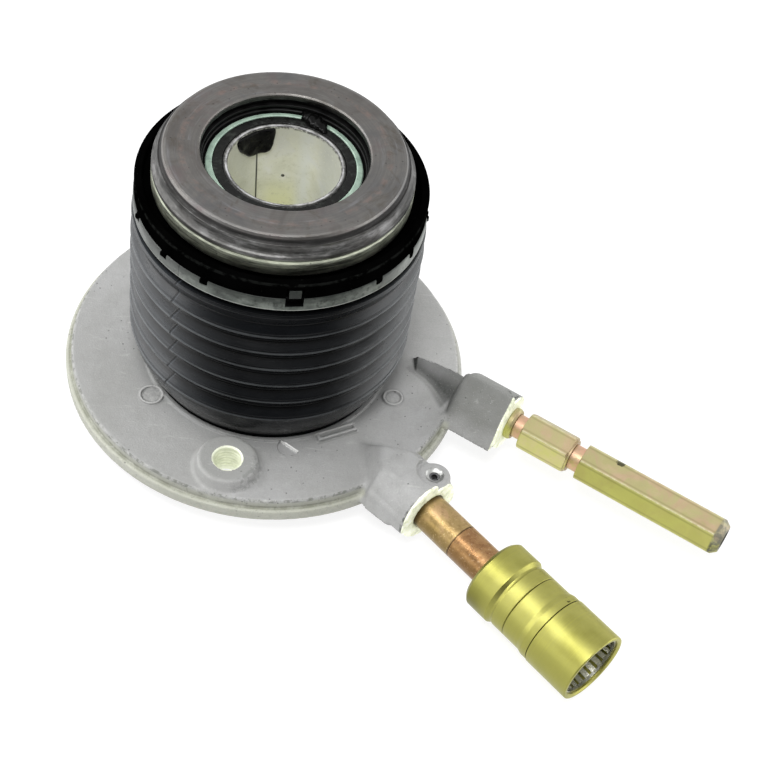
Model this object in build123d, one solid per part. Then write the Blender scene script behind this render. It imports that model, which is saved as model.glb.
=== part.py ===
from build123d import *
import math
import os

os.makedirs("parts", exist_ok=True)

# Driving dimensions, millimetres. The bore axis is Z, the flange underside is z = 0.
FLANGE_R = 61.5
LIP_T = 4.0
PLATE_R = 59.7
FLANGE_T = 7.0
SPIGOT_R = 37.0
SPIGOT_H = 8.0
FLOOR_Z = 7.5
CYL_BORE_R = 24.0
CYL_TOP_Z = 48.0
CYL_ROOT_R = 28.5
CYL_TOP_R = 27.6
TUBE_R = 17.2
TUBE_BORE_R = 15.75
TUBE_TOP_Z = 82.5
BOLT_R = 49.0
BOLT_AZ = -99.8
BOLT_HOLE_R = 4.0
BOLT_BOSS_TOP = 11.0

INLET_ANGLE = -46.574
INLET_OFFSET = 2.07
PORT_Z = 6.0
INLET_BOSS_R = 10.1
INLET_BOSS_END = 76.5
INLET_TUBE_R = 5.6
STEM_START = 90.3
COUPLING_R = 11.2
COUPLING_REAR = 103.4
COUPLING_MOUTH = 143.2
SOCKET_R = 9.75
CLIP_FINGERS = 24

BLEED_ANGLE = -30.77
BLEED_OFFSET = -21.36
BLEED_BOSS_R = 10.1
BLEED_BOSS_END = 75.8
HEX_AF = 11.1

PISTON_R = 23.94
PISTON_BORE_R = 17.26
STROKE = 18.0

BALL_R = 3.57
BALL_PCR = 29.5
BALL_Z = 80.5
BALL_COUNT = 18
RACE_R = 3.65
FACE_Z = 87.7


def wire_face(pts):
    """Closed outline through (u, v) or (u, v, radius) points, each radius rounding its corner."""
    n = len(pts)
    p = [Vector(q[0], q[1]) for q in pts]
    rad = [q[2] if len(q) > 2 else 0 for q in pts]
    ends = []
    for i in range(n):
        a, b, c = p[i - 1], p[i], p[(i + 1) % n]
        r = rad[i]
        if r <= 0:
            ends.append((b, b, None))
            continue
        u, v = (a - b).normalized(), (c - b).normalized()
        ang = math.acos(max(-1, min(1, u.dot(v))))
        t = r / math.tan(ang / 2)
        w = (u + v).normalized()
        ends.append((b + u * t, b + v * t, b + w * (r / math.sin(ang / 2) - r)))
    edges = []
    for i in range(n):
        s, e, m = ends[i]
        if m is not None:
            edges.append(ThreePointArc(s, m, e).edge())
        nxt = ends[(i + 1) % n][0]
        if (nxt - e).length > 1e-6:
            edges.append(Line(e, nxt).edge())
    return Face(Wire(edges))


def lathe(pts):
    return revolve(Plane.XZ * wire_face(pts), Axis.Z, 360)


def tube(r_out, r_in, z0, z1):
    return lathe([(r_in, z0), (r_out, z0), (r_out, z1), (r_in, z1)])


def rod(r, z0, z1, x=0.0, y=0.0):
    return Pos(x, y, (z0 + z1) / 2) * Cylinder(r, z1 - z0)


def slab(points, z0, z1):
    return Pos(0, 0, z0) * extrude(Face(Wire([Line(Vector(*points[i]), Vector(*points[(i + 1) % len(points)])).edge() for i in range(len(points))])), z1 - z0)


def solids_of(shape):
    return shape.solids()


def save(shape, name):
    solids = [s for s in solids_of(shape) if s.volume > 1e-3]
    out = solids[0] if len(solids) == 1 else Compound(children=solids)
    export_step(out, f"parts/{name}.step")
    print(name, len(solids), round(sum(s.volume for s in solids), 1))


def port_plane(angle, offset):
    a = math.radians(angle)
    d = Vector(math.cos(a), math.sin(a), 0)
    n = Vector(math.sin(a), -math.cos(a), 0)
    return Plane(origin=n * offset + Vector(0, 0, PORT_Z), x_dir=n * -1, z_dir=d), d, n


INLET, IN_D, IN_N = port_plane(INLET_ANGLE, INLET_OFFSET)
BLEED, BL_D, BL_N = port_plane(BLEED_ANGLE, BLEED_OFFSET)


def on_inlet(shape):
    return INLET.location * shape


def on_bleed(shape):
    return BLEED.location * shape


def in_xy(s, nrel, d, n, offset):
    v = d * s + n * (offset + nrel)
    return (v.X, v.Y)


def hexagon(af, z0, z1, turn=0.0):
    r = af / math.sqrt(3)
    pts = [(r * math.cos(math.radians(turn + 60 * i)), r * math.sin(math.radians(turn + 60 * i))) for i in range(6)]
    return slab(pts, z0, z1)


# ---------------------------------------------------------------- housing casting
base = lathe([
    (0, -SPIGOT_H), (SPIGOT_R, -SPIGOT_H, 0.8), (SPIGOT_R, 0), (FLANGE_R, 0, 0.5), (FLANGE_R, LIP_T, 0.7),
    (PLATE_R + 0.25, LIP_T, 0.25), (PLATE_R, FLANGE_T, 0.7), (CYL_ROOT_R, FLANGE_T, 2.0), (CYL_TOP_R, CYL_TOP_Z, 0.8), (0, CYL_TOP_Z),
])
housing = base
# thin cast ring round the foot of the boot
housing += lathe([(36.45, FLANGE_T - 0.5), (37.9, FLANGE_T - 0.5), (37.6, FLANGE_T + 0.6, 0.25), (36.5, FLANGE_T + 0.6, 0.2)])

# mounting bosses
bolt_xy = []
for k in range(2):
    a = math.radians(BOLT_AZ + 180 * k)
    bolt_xy.append((BOLT_R * math.cos(a), BOLT_R * math.sin(a)))
for x, y in bolt_xy:
    housing += Pos(x, y, 0) * lathe([(0, 5), (9.9, 5), (9.6, FLANGE_T), (8.9, BOLT_BOSS_TOP, 0.9), (0, BOLT_BOSS_TOP)])

# inlet boss: cylinder along the port, fairing, round pad and pin lobe
inlet_boss = on_inlet(lathe([(0, 55.0), (10.45, 55.0), (INLET_BOSS_R, 66), (INLET_BOSS_R, INLET_BOSS_END, 0.9), (0, INLET_BOSS_END)]))
foot = [(47.0, 1.2), (51.5, 4.6), (56.5, 8.2), (62.4, 12.3), (70.5, 10.3), (71.0, 0.0), (66.0, -8.8), (57.5, -7.2), (51.5, -1.2)]
crown = []
for s, n in foot:
    a = math.atan2(n - 0.6, s - 63.6)
    crown.append((64.6 + 5.2 * math.cos(a), 0.4 + 5.2 * math.sin(a)))
low = [in_xy(s, n, IN_D, IN_N, INLET_OFFSET) for s, n in foot]
high = [in_xy(s, n, IN_D, IN_N, INLET_OFFSET) for s, n in crown]


def ring_face(points, z):
    v = [Vector(x, y, z) for x, y in points]
    return Face(Wire([Line(v[i], v[(i + 1) % len(v)]).edge() for i in range(len(v))]))


fairing = loft([ring_face(low, 6.2), ring_face(high, 15.0)], ruled=True)
inlet_boss += fairing
inlet_boss += slab(low, 1.0, 6.2)
pad_xy = in_xy(65.0, 0.0, IN_D, IN_N, INLET_OFFSET)
inlet_boss -= rod(5.0, 15.3, 20.0, *pad_xy)
PIN_XY = (51.8, -49.5)
inlet_boss -= rod(4.8, 13.4, 20.0, *PIN_XY)
inlet_boss += Pos(PIN_XY[0], PIN_XY[1], 0) * lathe([(0, 0.5), (4.9, 0.5), (4.8, 13.4, 0.7), (0, 13.4)])

# bleed boss: cylinder shifted a little off the fitting, gusset and ramp towards the flange
bleed_boss = on_bleed(Pos(-0.6, -0.4, 0) * lathe([(0, 55.0), (BLEED_BOSS_R, 55.0, 4.0), (BLEED_BOSS_R, BLEED_BOSS_END, 0.9), (0, BLEED_BOSS_END)]))
gus_low = [(46.2, 2.2), (45.9, -3.8), (48.9, -8.2), (52.0, -11.9), (54.2, -14.1), (56.4, -18.8), (57.0, -22.4), (60.0, -24.5), (68.5, -7.5), (58.4, -3.4), (53.6, -0.7), (49.0, 1.4)]
gus_high = [(46.9, 1.6), (46.7, -3.0), (49.4, -6.4), (52.4, -9.4), (54.8, -11.6), (57.6, -16.0), (58.6, -19.5), (61.0, -21.5), (66.5, -9.5), (58.7, -5.0), (54.2, -2.2), (49.7, 0.6)]
heights = [1.0, 1.0, 1.7, 2.5, 3.1, 4.3, 5.0, 6.0, 6.0, 3.6, 2.5, 1.5]


def tapered(low_pts, high_pts, z0, tops):
    """Solid with a flat foot and a faceted top whose corner heights vary."""
    n = len(low_pts)
    b = [Vector(x, y, z0) for x, y in low_pts]
    t = [Vector(x, y, FLANGE_T + h) for (x, y), h in zip(high_pts, tops)]
    cx = sum(v.X for v in t) / n
    cy = sum(v.Y for v in t) / n
    cz = sum(v.Z for v in t) / n - 0.7
    c = Vector(cx, cy, cz)

    def tri(p, q, r):
        return Face(Wire([Line(p, q).edge(), Line(q, r).edge(), Line(r, p).edge()]))

    faces = [Face(Wire([Line(b[i], b[(i + 1) % n]).edge() for i in range(n)]))]
    for i in range(n):
        j = (i + 1) % n
        faces.append(tri(b[i], b[j], t[j]))
        faces.append(tri(b[i], t[j], t[i]))
        faces.append(tri(t[i], t[j], c))
    return Solid(Shell(faces))


gusset = tapered(gus_low, gus_high, 4.0, heights)

# the bleed boss runs out sideways into a sharp lower edge
flare_pts = [(-6.9, 6.3), (-13.2, -0.9), (-12.8, -1.7), (-1.0, -1.7), (-1.0, 4.0)]
bleed_boss += on_bleed(slab(flare_pts, 59.5, BLEED_BOSS_END))

housing += inlet_boss
housing += gusset
housing += bleed_boss

# cast marks on the flange
housing += Pos(-33.1, -24.1, 0) * lathe([(0, 6.5), (3.75, 6.5), (3.65, 7.5, 0.2), (2.9, 7.5, 0.2), (2.6, 7.15), (0, 7.15)])
housing += Pos(39.6, -16.2, 0) * lathe([(0, 6.5), (3.3, 6.5), (3.2, 7.42, 0.2), (2.5, 7.42, 0.2), (2.2, 7.12), (0, 7.12)])
bar_dx, bar_dy = 28.8 - 17.0, -27.0 + 33.0
bar_l = math.hypot(bar_dx, bar_dy)
bar_a = math.degrees(math.atan2(bar_dy, bar_dx))
housing += Pos(22.9, -30.0 - 2.2, 7.2) * Rot(0, 0, bar_a) * Box(bar_l, 2.4, 1.4)

# the bosses stay clear of the mounting face inside the flange rim
housing -= tube(FLANGE_R + 0.6, SPIGOT_R, -6.0, 0.0)

# bores and passages
housing -= rod(CYL_BORE_R, FLOOR_Z, CYL_TOP_Z + 1)
housing -= lathe([(0, CYL_TOP_Z - 1.0), (CYL_BORE_R, CYL_TOP_Z - 1.0), (CYL_BORE_R + 1.1, CYL_TOP_Z + 0.1), (0, CYL_TOP_Z + 0.1)])
housing -= rod(TUBE_R + 0.02, -SPIGOT_H - 1, FLOOR_Z + 1)
housing -= rod(20.1, -SPIGOT_H - 1, -6.4)
housing -= tube(19.6, TUBE_R - 0.5, -2.0, 0.8)
for x, y in bolt_xy:
    housing -= rod(BOLT_HOLE_R, -1, BOLT_BOSS_TOP + 1, x, y)
    housing -= Pos(x, y, 0) * lathe([(0, BOLT_BOSS_TOP - 0.5), (BOLT_HOLE_R, BOLT_BOSS_TOP - 0.5), (BOLT_HOLE_R + 0.55, BOLT_BOSS_TOP + 0.05), (0, BOLT_BOSS_TOP + 0.05)])

# half-round pocket beside the foot of the boot
MARK_XY = (9.1, -38.8)
half = Pos(9.05, -38.32, 7.2) * Rot(0, 0, -35.2) * Pos(0, -4.0, 0) * Box(9, 8.0, 2.2)
housing -= rod(3.3, 6.1, 9.0, *MARK_XY) & half

# inlet socket, its passage and the riser into the cylinder floor
housing -= on_inlet(rod(INLET_TUBE_R + 0.04, 60.0, INLET_BOSS_END + 1))
housing -= on_inlet(lathe([(0, INLET_BOSS_END - 0.45), (INLET_TUBE_R + 0.04, INLET_BOSS_END - 0.45), (INLET_TUBE_R + 0.55, INLET_BOSS_END + 0.06), (0, INLET_BOSS_END + 0.06)]))
housing -= on_inlet(rod(1.75, 20.4, 60.5, 0, -2.0))
ix, iy = in_xy(20.4, 0, IN_D, IN_N, INLET_OFFSET)
housing -= rod(1.5, 4.0, FLOOR_Z + 0.5, ix, iy)
# roll pin hole
PIN_R = 1.5
housing -= rod(PIN_R + 0.01, 0.0, 14.0, *PIN_XY)
housing -= Pos(PIN_XY[0], PIN_XY[1], 0) * lathe([(0, 12.6), (PIN_R, 12.6), (2.5, 13.45), (0, 13.45)])

# bleed socket, seat and passage
housing -= on_bleed(rod(3.62, 62.0, BLEED_BOSS_END + 1))
housing -= on_bleed(lathe([(0, 75.2), (3.62, 75.2), (4.3, 75.9), (0, 75.9)]))
housing -= on_bleed(rod(1.25, 2.0, 62.5, 0, -2.2))
bx, by = in_xy(2.0, 0, BL_D, BL_N, BLEED_OFFSET)
housing -= rod(1.25, 3.8, FLOOR_Z + 0.5, bx, by)
save(housing, "housing")

# ---------------------------------------------------------------- guide tube
guide = lathe([
    (TUBE_BORE_R, -7.9), (20.0, -7.9, 0.3), (20.0, -6.45, 0.3), (TUBE_R, -6.45), (TUBE_R, TUBE_TOP_Z, 0.35), (TUBE_BORE_R, TUBE_TOP_Z, 0.35),
])
save(guide, "guide_tube")
save(lathe([(TUBE_R + 0.03, -1.8, 0.9), (19.55, -1.8, 0.9), (19.55, 0.6, 0.9), (TUBE_R + 0.03, 0.6, 0.9)]), "guide_tube_o_ring")

# ---------------------------------------------------------------- inlet side
inlet_tube = on_inlet(lathe([
    (2.2, 61.0), (5.1, 61.0), (INLET_TUBE_R, 61.5), (INLET_TUBE_R, 65.0), (4.3, 65.0, 0.2), (4.3, 67.6, 0.2), (INLET_TUBE_R, 67.6),
    (INLET_TUBE_R, 69.9), (3.95, 69.9), (3.95, 73.1), (INLET_TUBE_R, 73.1), (INLET_TUBE_R, STEM_START), (3.62, STEM_START), (3.62, 84.0), (2.2, 84.0),
]))
save(inlet_tube, "inlet_tube")
save(on_inlet(lathe([(4.32, 65.2, 0.6), (5.62, 65.2, 0.6), (5.62, 67.4, 0.6), (4.32, 67.4, 0.6)])), "inlet_o_ring")
pin = rod(PIN_R, 1.2, 12.6, *PIN_XY) - rod(0.95, 0.5, 14.0, *PIN_XY)
slit = Pos(PIN_XY[0], PIN_XY[1], 7) * Rot(0, 0, INLET_ANGLE + 90) * Pos(0, -1.2, 0) * Box(0.35, 2.4, 14)
pin -= slit
save(pin, "inlet_roll_pin")

stem = on_inlet(lathe([
    (2.2, 84.1), (3.6, 84.1), (3.6, STEM_START + 0.02), (INLET_TUBE_R, STEM_START + 0.02, 0.15), (INLET_TUBE_R, 106.0), (7.4, 106.0), (7.4, 110.0), (2.2, 110.0),
]))
save(stem, "coupling_stem")

coupling = on_inlet(lathe([
    (5.68, COUPLING_REAR), (10.3, COUPLING_REAR, 0.3), (COUPLING_R, COUPLING_REAR + 1.0, 0.3), (COUPLING_R, 111.7, 0.25),
    (10.3, 112.8, 0.3), (10.3, 113.3, 0.3), (10.55, 113.9, 0.3), (10.55, 117.9), (10.35, 118.05), (10.35, 118.25), (10.55, 118.4),
    (10.55, 124.0, 1.0), (11.0, 125.6, 1.0), (11.0, 127.75), (10.8, 127.85), (10.8, 128.0), (COUPLING_R, 128.15), (COUPLING_R, COUPLING_MOUTH - 0.15, 0.35),
    (10.9, COUPLING_MOUTH, 0.1), (10.25, COUPLING_MOUTH, 0.2), (SOCKET_R, 142.75), (SOCKET_R, 142.3), (10.0, 142.3), (10.0, 131.5), (9.0, 131.5), (9.0, 129.6),
    (7.6, 129.6), (7.6, 128.4), (8.6, 128.4), (8.6, 126.0), (7.6, 126.0), (7.6, 124.4), (5.0, 124.4), (5.0, 122.6), (7.45, 121.0), (7.45, 106.0), (5.68, 106.0),
]))
save(coupling, "coupling_body")

clip = tube(9.95, 9.3, 141.4, 142.2)
finger = lathe([(9.95, 141.5), (9.35, 141.5), (8.6, 133.6), (9.1, 133.1), (9.4, 133.6)]) & (Pos(9.0, 0, 137.4) * Box(4, 1.5, 9))
for k in range(CLIP_FINGERS):
    clip += Rot(0, 0, 360 / CLIP_FINGERS * k) * finger
clip = on_inlet(clip)
save(clip, "coupling_clip")
save(on_inlet(lathe([(7.1, 126.1, 0.8), (8.58, 126.1, 0.8), (8.58, 128.3, 0.8), (7.1, 128.3, 0.8)])), "coupling_seal")

guide_plate = on_inlet(tube(7.4, 5.6, 110.05, 112.0) + tube(2.6, 1.62, 110.05, 112.0))
for k in range(3):
    guide_plate += on_inlet(Rot(0, 0, 120 * k) * Pos(4.1, 0, 111.02) * Box(3.6, 1.2, 1.94))
save(guide_plate, "coupling_valve_guide")
valve = on_inlet(lathe([(0, 110.3), (1.55, 110.3, 0.3), (1.55, 118.2), (6.4, 118.2), (6.4, 119.6), (6.2, 121.55), (4.75, 122.5), (4.7, 123.6, 0.4), (0, 123.9)]))
save(valve, "coupling_valve")


def coil(mean_r, wire_r, z0, z1, turns, flat=0.0):
    """Compression spring standing on z0 with its crown at z1, ends ground flat by planes."""
    h = z1 - z0
    pitch = h / turns
    path = Helix(pitch=pitch, height=h, radius=mean_r)
    start = path @ 0
    tangent = path % 0
    sec = Plane(origin=start, z_dir=tangent) * Circle(wire_r)
    body = sweep(sec, path=path, is_frenet=True)
    return Pos(0, 0, z0) * body


def ground_coil(mean_r, wire_r, z0, z1, turns):
    body = coil(mean_r, wire_r, z0 + 0.25 * wire_r, z1 - 0.25 * wire_r, turns)
    keep = Pos(0, 0, (z0 + z1) / 2) * Cylinder(mean_r + 3 * wire_r, z1 - z0)
    return body & keep


save(on_inlet(ground_coil(4.0, 0.4, 112.05, 118.15, 4.5)), "coupling_valve_spring")

# ---------------------------------------------------------------- bleed side
ADAPTER_TURN = 15.4
SCREW_TURN = 10.5
collar = on_bleed(lathe([(3.66, BLEED_BOSS_END + 0.02), (5.0, BLEED_BOSS_END + 0.02, 0.3), (5.08, 77.2, 0.3), (4.6, 78.0, 0.2), (3.8, 78.0)]))
save(collar, "bleed_adapter_collar")
adapter = on_bleed(lathe([(0, 66.0), (3.0, 66.0), (3.58, 66.6), (3.58, 78.0), (3.72, 78.05), (3.72, 81.3), (4.5, 81.3), (4.5, 97.0), (5.1, 97.0), (5.1, 97.6), (0, 97.6)]))
hexa = hexagon(HEX_AF, 81.2, 97.0, ADAPTER_TURN) & lathe([(0, 81.2), (5.75, 81.2), (6.5, 81.7), (6.5, 96.4), (5.75, 97.0), (0, 97.0)])
adapter += on_bleed(hexa)
adapter -= on_bleed(lathe([(0, 84.0), (1.2, 84.0), (3.45, 86.6), (3.45, 92.0), (3.9, 92.0), (3.9, 95.4), (3.45, 95.4), (3.45, 98.0), (0, 98.0)]))
adapter -= on_bleed(rod(1.2, 65.0, 85.0))
save(adapter, "bleed_adapter")
screw = on_bleed(lathe([
    (0, 84.35), (0.95, 84.35), (2.95, 86.66), (3.35, 86.75), (3.35, 92.3), (2.75, 92.3, 0.2), (2.75, 95.1, 0.2), (3.35, 95.1), (3.35, 97.65),
    (3.95, 97.65, 0.1), (3.95, 101.2), (4.8, 101.2), (4.8, 146.0), (0, 146.0),
]))
long_hex = hexagon(HEX_AF, 101.1, 148.6, SCREW_TURN) & lathe([(0, 101.1), (5.75, 101.1), (6.5, 101.6), (6.5, 145.7), (4.2, 148.6), (0, 148.6)])
screw += on_bleed(long_hex)
screw -= on_bleed(lathe([(0, 89.0), (0.8, 89.0), (0.8, 142.0), (2.8, 143.2), (2.8, 148.2), (3.1, 148.7), (0, 148.7)]))
screw -= on_bleed(Pos(0, 0, 89.6) * Rot(90, 0, 0) * Cylinder(0.7, 9))
save(screw, "bleed_screw")
save(on_bleed(lathe([(2.78, 92.6, 0.3), (3.4, 92.6, 0.3), (3.4, 94.8, 0.3), (2.78, 94.8, 0.3)])), "bleed_screw_o_ring")

# ---------------------------------------------------------------- release carriage
piston = lathe([
    (PISTON_BORE_R, 32.0, 0.3), (PISTON_R, 32.0, 0.5), (PISTON_R, 69.45), (20.5, 69.45), (20.5, 80.6, 0.0), (19.5, 80.6), (19.5, 82.05),
    (19.95, 82.05), (19.95, 82.55, 0.2), (PISTON_BORE_R, 82.55, 0.3),
])
save(piston, "piston")
key = lathe([(20.0, 80.62), (22.4, 80.62), (22.4, 83.0, 0.3), (19.6, 83.5, 0.3), (17.5, 83.1, 0.2), (17.5, 82.6), (20.0, 82.6)])
key = key & (Rot(0, 0, 72.0) * Pos(20.5, 0, 82) * Box(8, 5.4, 8))
save(key, "retainer_key")
save(lathe([
    (PISTON_BORE_R, 27.0, 0.3), (19.1, 27.0, 0.3), (19.9, 29.6, 0.3), (21.3, 29.6, 0.3), (22.1, 27.0, 0.3), (PISTON_R, 27.0, 0.3), (PISTON_R - 0.0, 28.2),
    (23.75, 29.0), (23.75, 31.98), (17.45, 31.98), (17.45, 29.0), (PISTON_BORE_R, 28.2),
]), "piston_seal")

save(ground_coil(32.9, 1.4, 7.02, 69.45, 5.5), "preload_spring")

crests = [(41.9, 64.6), (42.2, 57.2), (42.2, 50.6), (42.2, 43.9), (42.2, 37.0), (42.2, 29.8), (42.2, 22.1)]
roots = [(40.3, 61.0), (39.8, 54.0), (39.8, 47.3), (39.8, 40.5), (39.8, 33.4), (39.8, 26.0)]
outer = [(41.2, 72.15), (41.5, 71.2), (41.5, 67.8), (40.2, 67.6), (40.0, 66.2)]
for i, c in enumerate(crests):
    outer.append((c[0] - 0.25, c[1] + 0.35))
    outer.append((c[0], c[1]))
    if i < len(roots):
        outer.append((roots[i][0], roots[i][1] - 0.2 if i else roots[i][1]))
outer += [(36.35, 8.4), (36.35, 7.05)]
inner = [(34.9, 7.05), (34.9, 9.2)]
for i in range(len(crests) - 1, -1, -1):
    c = crests[i]
    inner.append((c[0] - 1.5, c[1] - 0.1))
    if i > 0:
        r = roots[i - 1]
        inner.append((r[0] - 1.25, r[1] + 0.1))
inner += [(38.7, 66.0), (38.45, 67.0), (38.45, 72.15)]
boot = lathe(outer + inner)
boot -= Rot(0, 0, -81.5) * Pos(41.0, 0, 70.6) * Box(8, 4.9, 3.4)
for off in (-77, -55, -35, 35, 55, 77):
    boot -= Rot(0, 0, -81.5 + off) * Pos(41.6, 0, 72.0) * Box(1.8, 1.6, 1.2)
save(boot, "dust_boot")

carrier = lathe([
    (20.6, 69.5), (36.9, 69.5), (36.9, 65.6, 0.3), (38.4, 65.6, 0.3), (38.4, 72.2), (41.2, 72.2, 0.15), (41.2, 77.6, 0.5), (39.0, 77.6, 0.4),
    (38.85, 74.4, 0.3), (31.0, 74.2, 0.2), (30.9, 73.4), (20.6, 73.4),
])
slot = Rot(0, 0, -81.5) * Pos(41.0, 0, 74.0) * Box(1.2, 4.9, 3.9)
carrier -= slot
carrier += Rot(0, 0, -81.5) * Pos(40.75, 0, 73.95) * Box(1.0, 3.7, 3.5)
for off in (-77, -55, -35, 35, 55, 77, 105, 140, 180, 220, 255):
    notch = Rot(0, 0, -81.5 + off) * Pos(41.2, 0, 72.7) * Box(1.6, 1.6, 1.0)
    carrier -= notch
save(carrier, "bearing_carrier")

# bearing
arc_i0, arc_i1 = math.radians(165), math.radians(285)
arc_o0, arc_o1 = math.radians(-15), math.radians(95)


def on_race(a):
    return (BALL_PCR + RACE_R * math.cos(a), BALL_Z + RACE_R * math.sin(a))


def ring_section(lines, a0, a1):
    """Outline whose last span is the race arc from angle a0 to a1, and the rest straight or rounded corners."""
    am = (a0 + a1) / 2
    arc = ThreePointArc(Vector(*on_race(a0)), Vector(*on_race(am)), Vector(*on_race(a1))).edge()
    pts = [Vector(*on_race(a1))] + [Vector(*q) for q in lines] + [Vector(*on_race(a0))]
    edges = [arc] + [Line(pts[i], pts[i + 1]).edge() for i in range(len(pts) - 1)]
    return revolve(Plane.XZ * Face(Wire(edges)), Axis.Z, 360)


def bow(p, q, bulge, n=6):
    """Points of a shallow arc from p to q bulging outwards by the given amount."""
    out = []
    dx, dz = q[0] - p[0], q[1] - p[1]
    length = math.hypot(dx, dz)
    nx, nz = dz / length, -dx / length
    for i in range(n + 1):
        t = i / n
        h = 4 * bulge * t * (1 - t)
        out.append((p[0] + dx * t + nx * h, p[1] + dz * t + nz * h))
    return out


inner_ring = ring_section([(31.0, 76.4), (31.0, 74.35), (30.7, 73.45), (21.0, 73.45), (21.0, 79.4), (22.6, 79.4), (22.6, 82.6), (22.8, 82.8), (24.6, 82.8), (25.3, 82.0)], arc_i0, arc_i1)
save(inner_ring, "bearing_inner_ring")
shell_pts = [(28.3, 84.9), (26.9, 84.9), (26.9, 85.8), (23.5, 85.8), (23.5, 87.3), (23.9, FACE_Z), (32.9, FACE_Z), (33.5, 87.5), (33.9, 86.9), (34.15, 86.1), (34.5, 85.75)]
shell_pts += bow((35.0, 85.55), (36.55, 82.6), 0.5, 6)
shell_pts += [(36.6, 81.6), (36.45, 81.1), (36.65, 80.5), (36.65, 76.4), (36.3, 75.9), (34.25, 75.9), (34.25, 79.1)]
outer_ring = ring_section(shell_pts, arc_o0, arc_o1)
save(outer_ring, "bearing_outer_ring")

balls = [Rot(0, 0, 360 / BALL_COUNT * k) * Pos(BALL_PCR, 0, BALL_Z) * Sphere(BALL_R) for k in range(BALL_COUNT)]
export_step(Compound(children=[b.solids()[0] for b in balls]), "parts/bearing_balls.step")

q = math.sqrt(0.5)


def strip(t, h):
    return (BALL_PCR + t * q + h * q, BALL_Z - t * q + h * q)


cage = lathe([strip(-3.0, -0.7), strip(4.8, -0.7), strip(4.8, 0.7), strip(-3.0, 0.7)])
for k in range(BALL_COUNT):
    cage -= Rot(0, 0, 360 / BALL_COUNT * k) * Pos(BALL_PCR, 0, BALL_Z) * Sphere(3.75)
save(cage, "bearing_cage")

save(lathe([(23.0, 83.35, 0.15), (26.85, 83.35, 0.2), (26.85, 85.75, 0.2), (24.9, 85.75, 0.2), (24.9, 84.2, 0.2), (23.0, 84.2, 0.15)]), "bearing_seal")
save(tube(34.2, 31.4, 75.95, 76.6), "bearing_shield")
save(lathe([(20.6, 80.2), (20.6, 80.55), (22.4, 79.75), (22.4, 79.45), (22.1, 79.42)]), "disc_spring")
ring = lathe([(19.58, 80.62, 0.2), (21.9, 80.62, 0.3), (21.9, 82.0, 0.3), (19.58, 82.0, 0.2)])
gap = Rot(0, 0, 72.0) * Pos(20.5, 0, 81.5) * Box(6, 5.9, 6)
save(ring - gap, "retaining_ring")
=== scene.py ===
import math

import bpy
import numpy as np
from mathutils import Matrix, Vector


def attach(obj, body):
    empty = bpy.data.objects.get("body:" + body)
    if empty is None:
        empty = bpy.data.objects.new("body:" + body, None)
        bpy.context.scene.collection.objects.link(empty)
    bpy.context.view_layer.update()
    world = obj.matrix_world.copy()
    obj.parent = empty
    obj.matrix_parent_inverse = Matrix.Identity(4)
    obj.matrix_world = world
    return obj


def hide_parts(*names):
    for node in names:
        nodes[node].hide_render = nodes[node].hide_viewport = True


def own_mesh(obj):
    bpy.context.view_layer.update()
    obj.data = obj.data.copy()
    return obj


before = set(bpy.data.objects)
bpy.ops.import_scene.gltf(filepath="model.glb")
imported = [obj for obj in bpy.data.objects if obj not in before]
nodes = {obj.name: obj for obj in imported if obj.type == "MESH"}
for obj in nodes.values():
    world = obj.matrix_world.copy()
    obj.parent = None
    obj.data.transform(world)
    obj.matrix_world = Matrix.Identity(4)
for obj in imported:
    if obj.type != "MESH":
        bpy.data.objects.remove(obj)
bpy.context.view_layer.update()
MM = 0.001

# ------------------------------------------------------------------ directions of the two ports
IN_A, IN_OFF = math.radians(-46.574), 2.07
BL_A, BL_OFF = math.radians(-30.77), -21.36
PORT_Z = 6.0


def port(a, off, s, side=0.0, up=0.0):
    """A point in millimetres: s along the port, side towards the camera, up above its axis."""
    d = (math.cos(a), math.sin(a))
    n = (math.sin(a), -math.cos(a))
    return (d[0] * s + n[0] * (off + side), d[1] * s + n[1] * (off + side), PORT_Z + up)


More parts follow.
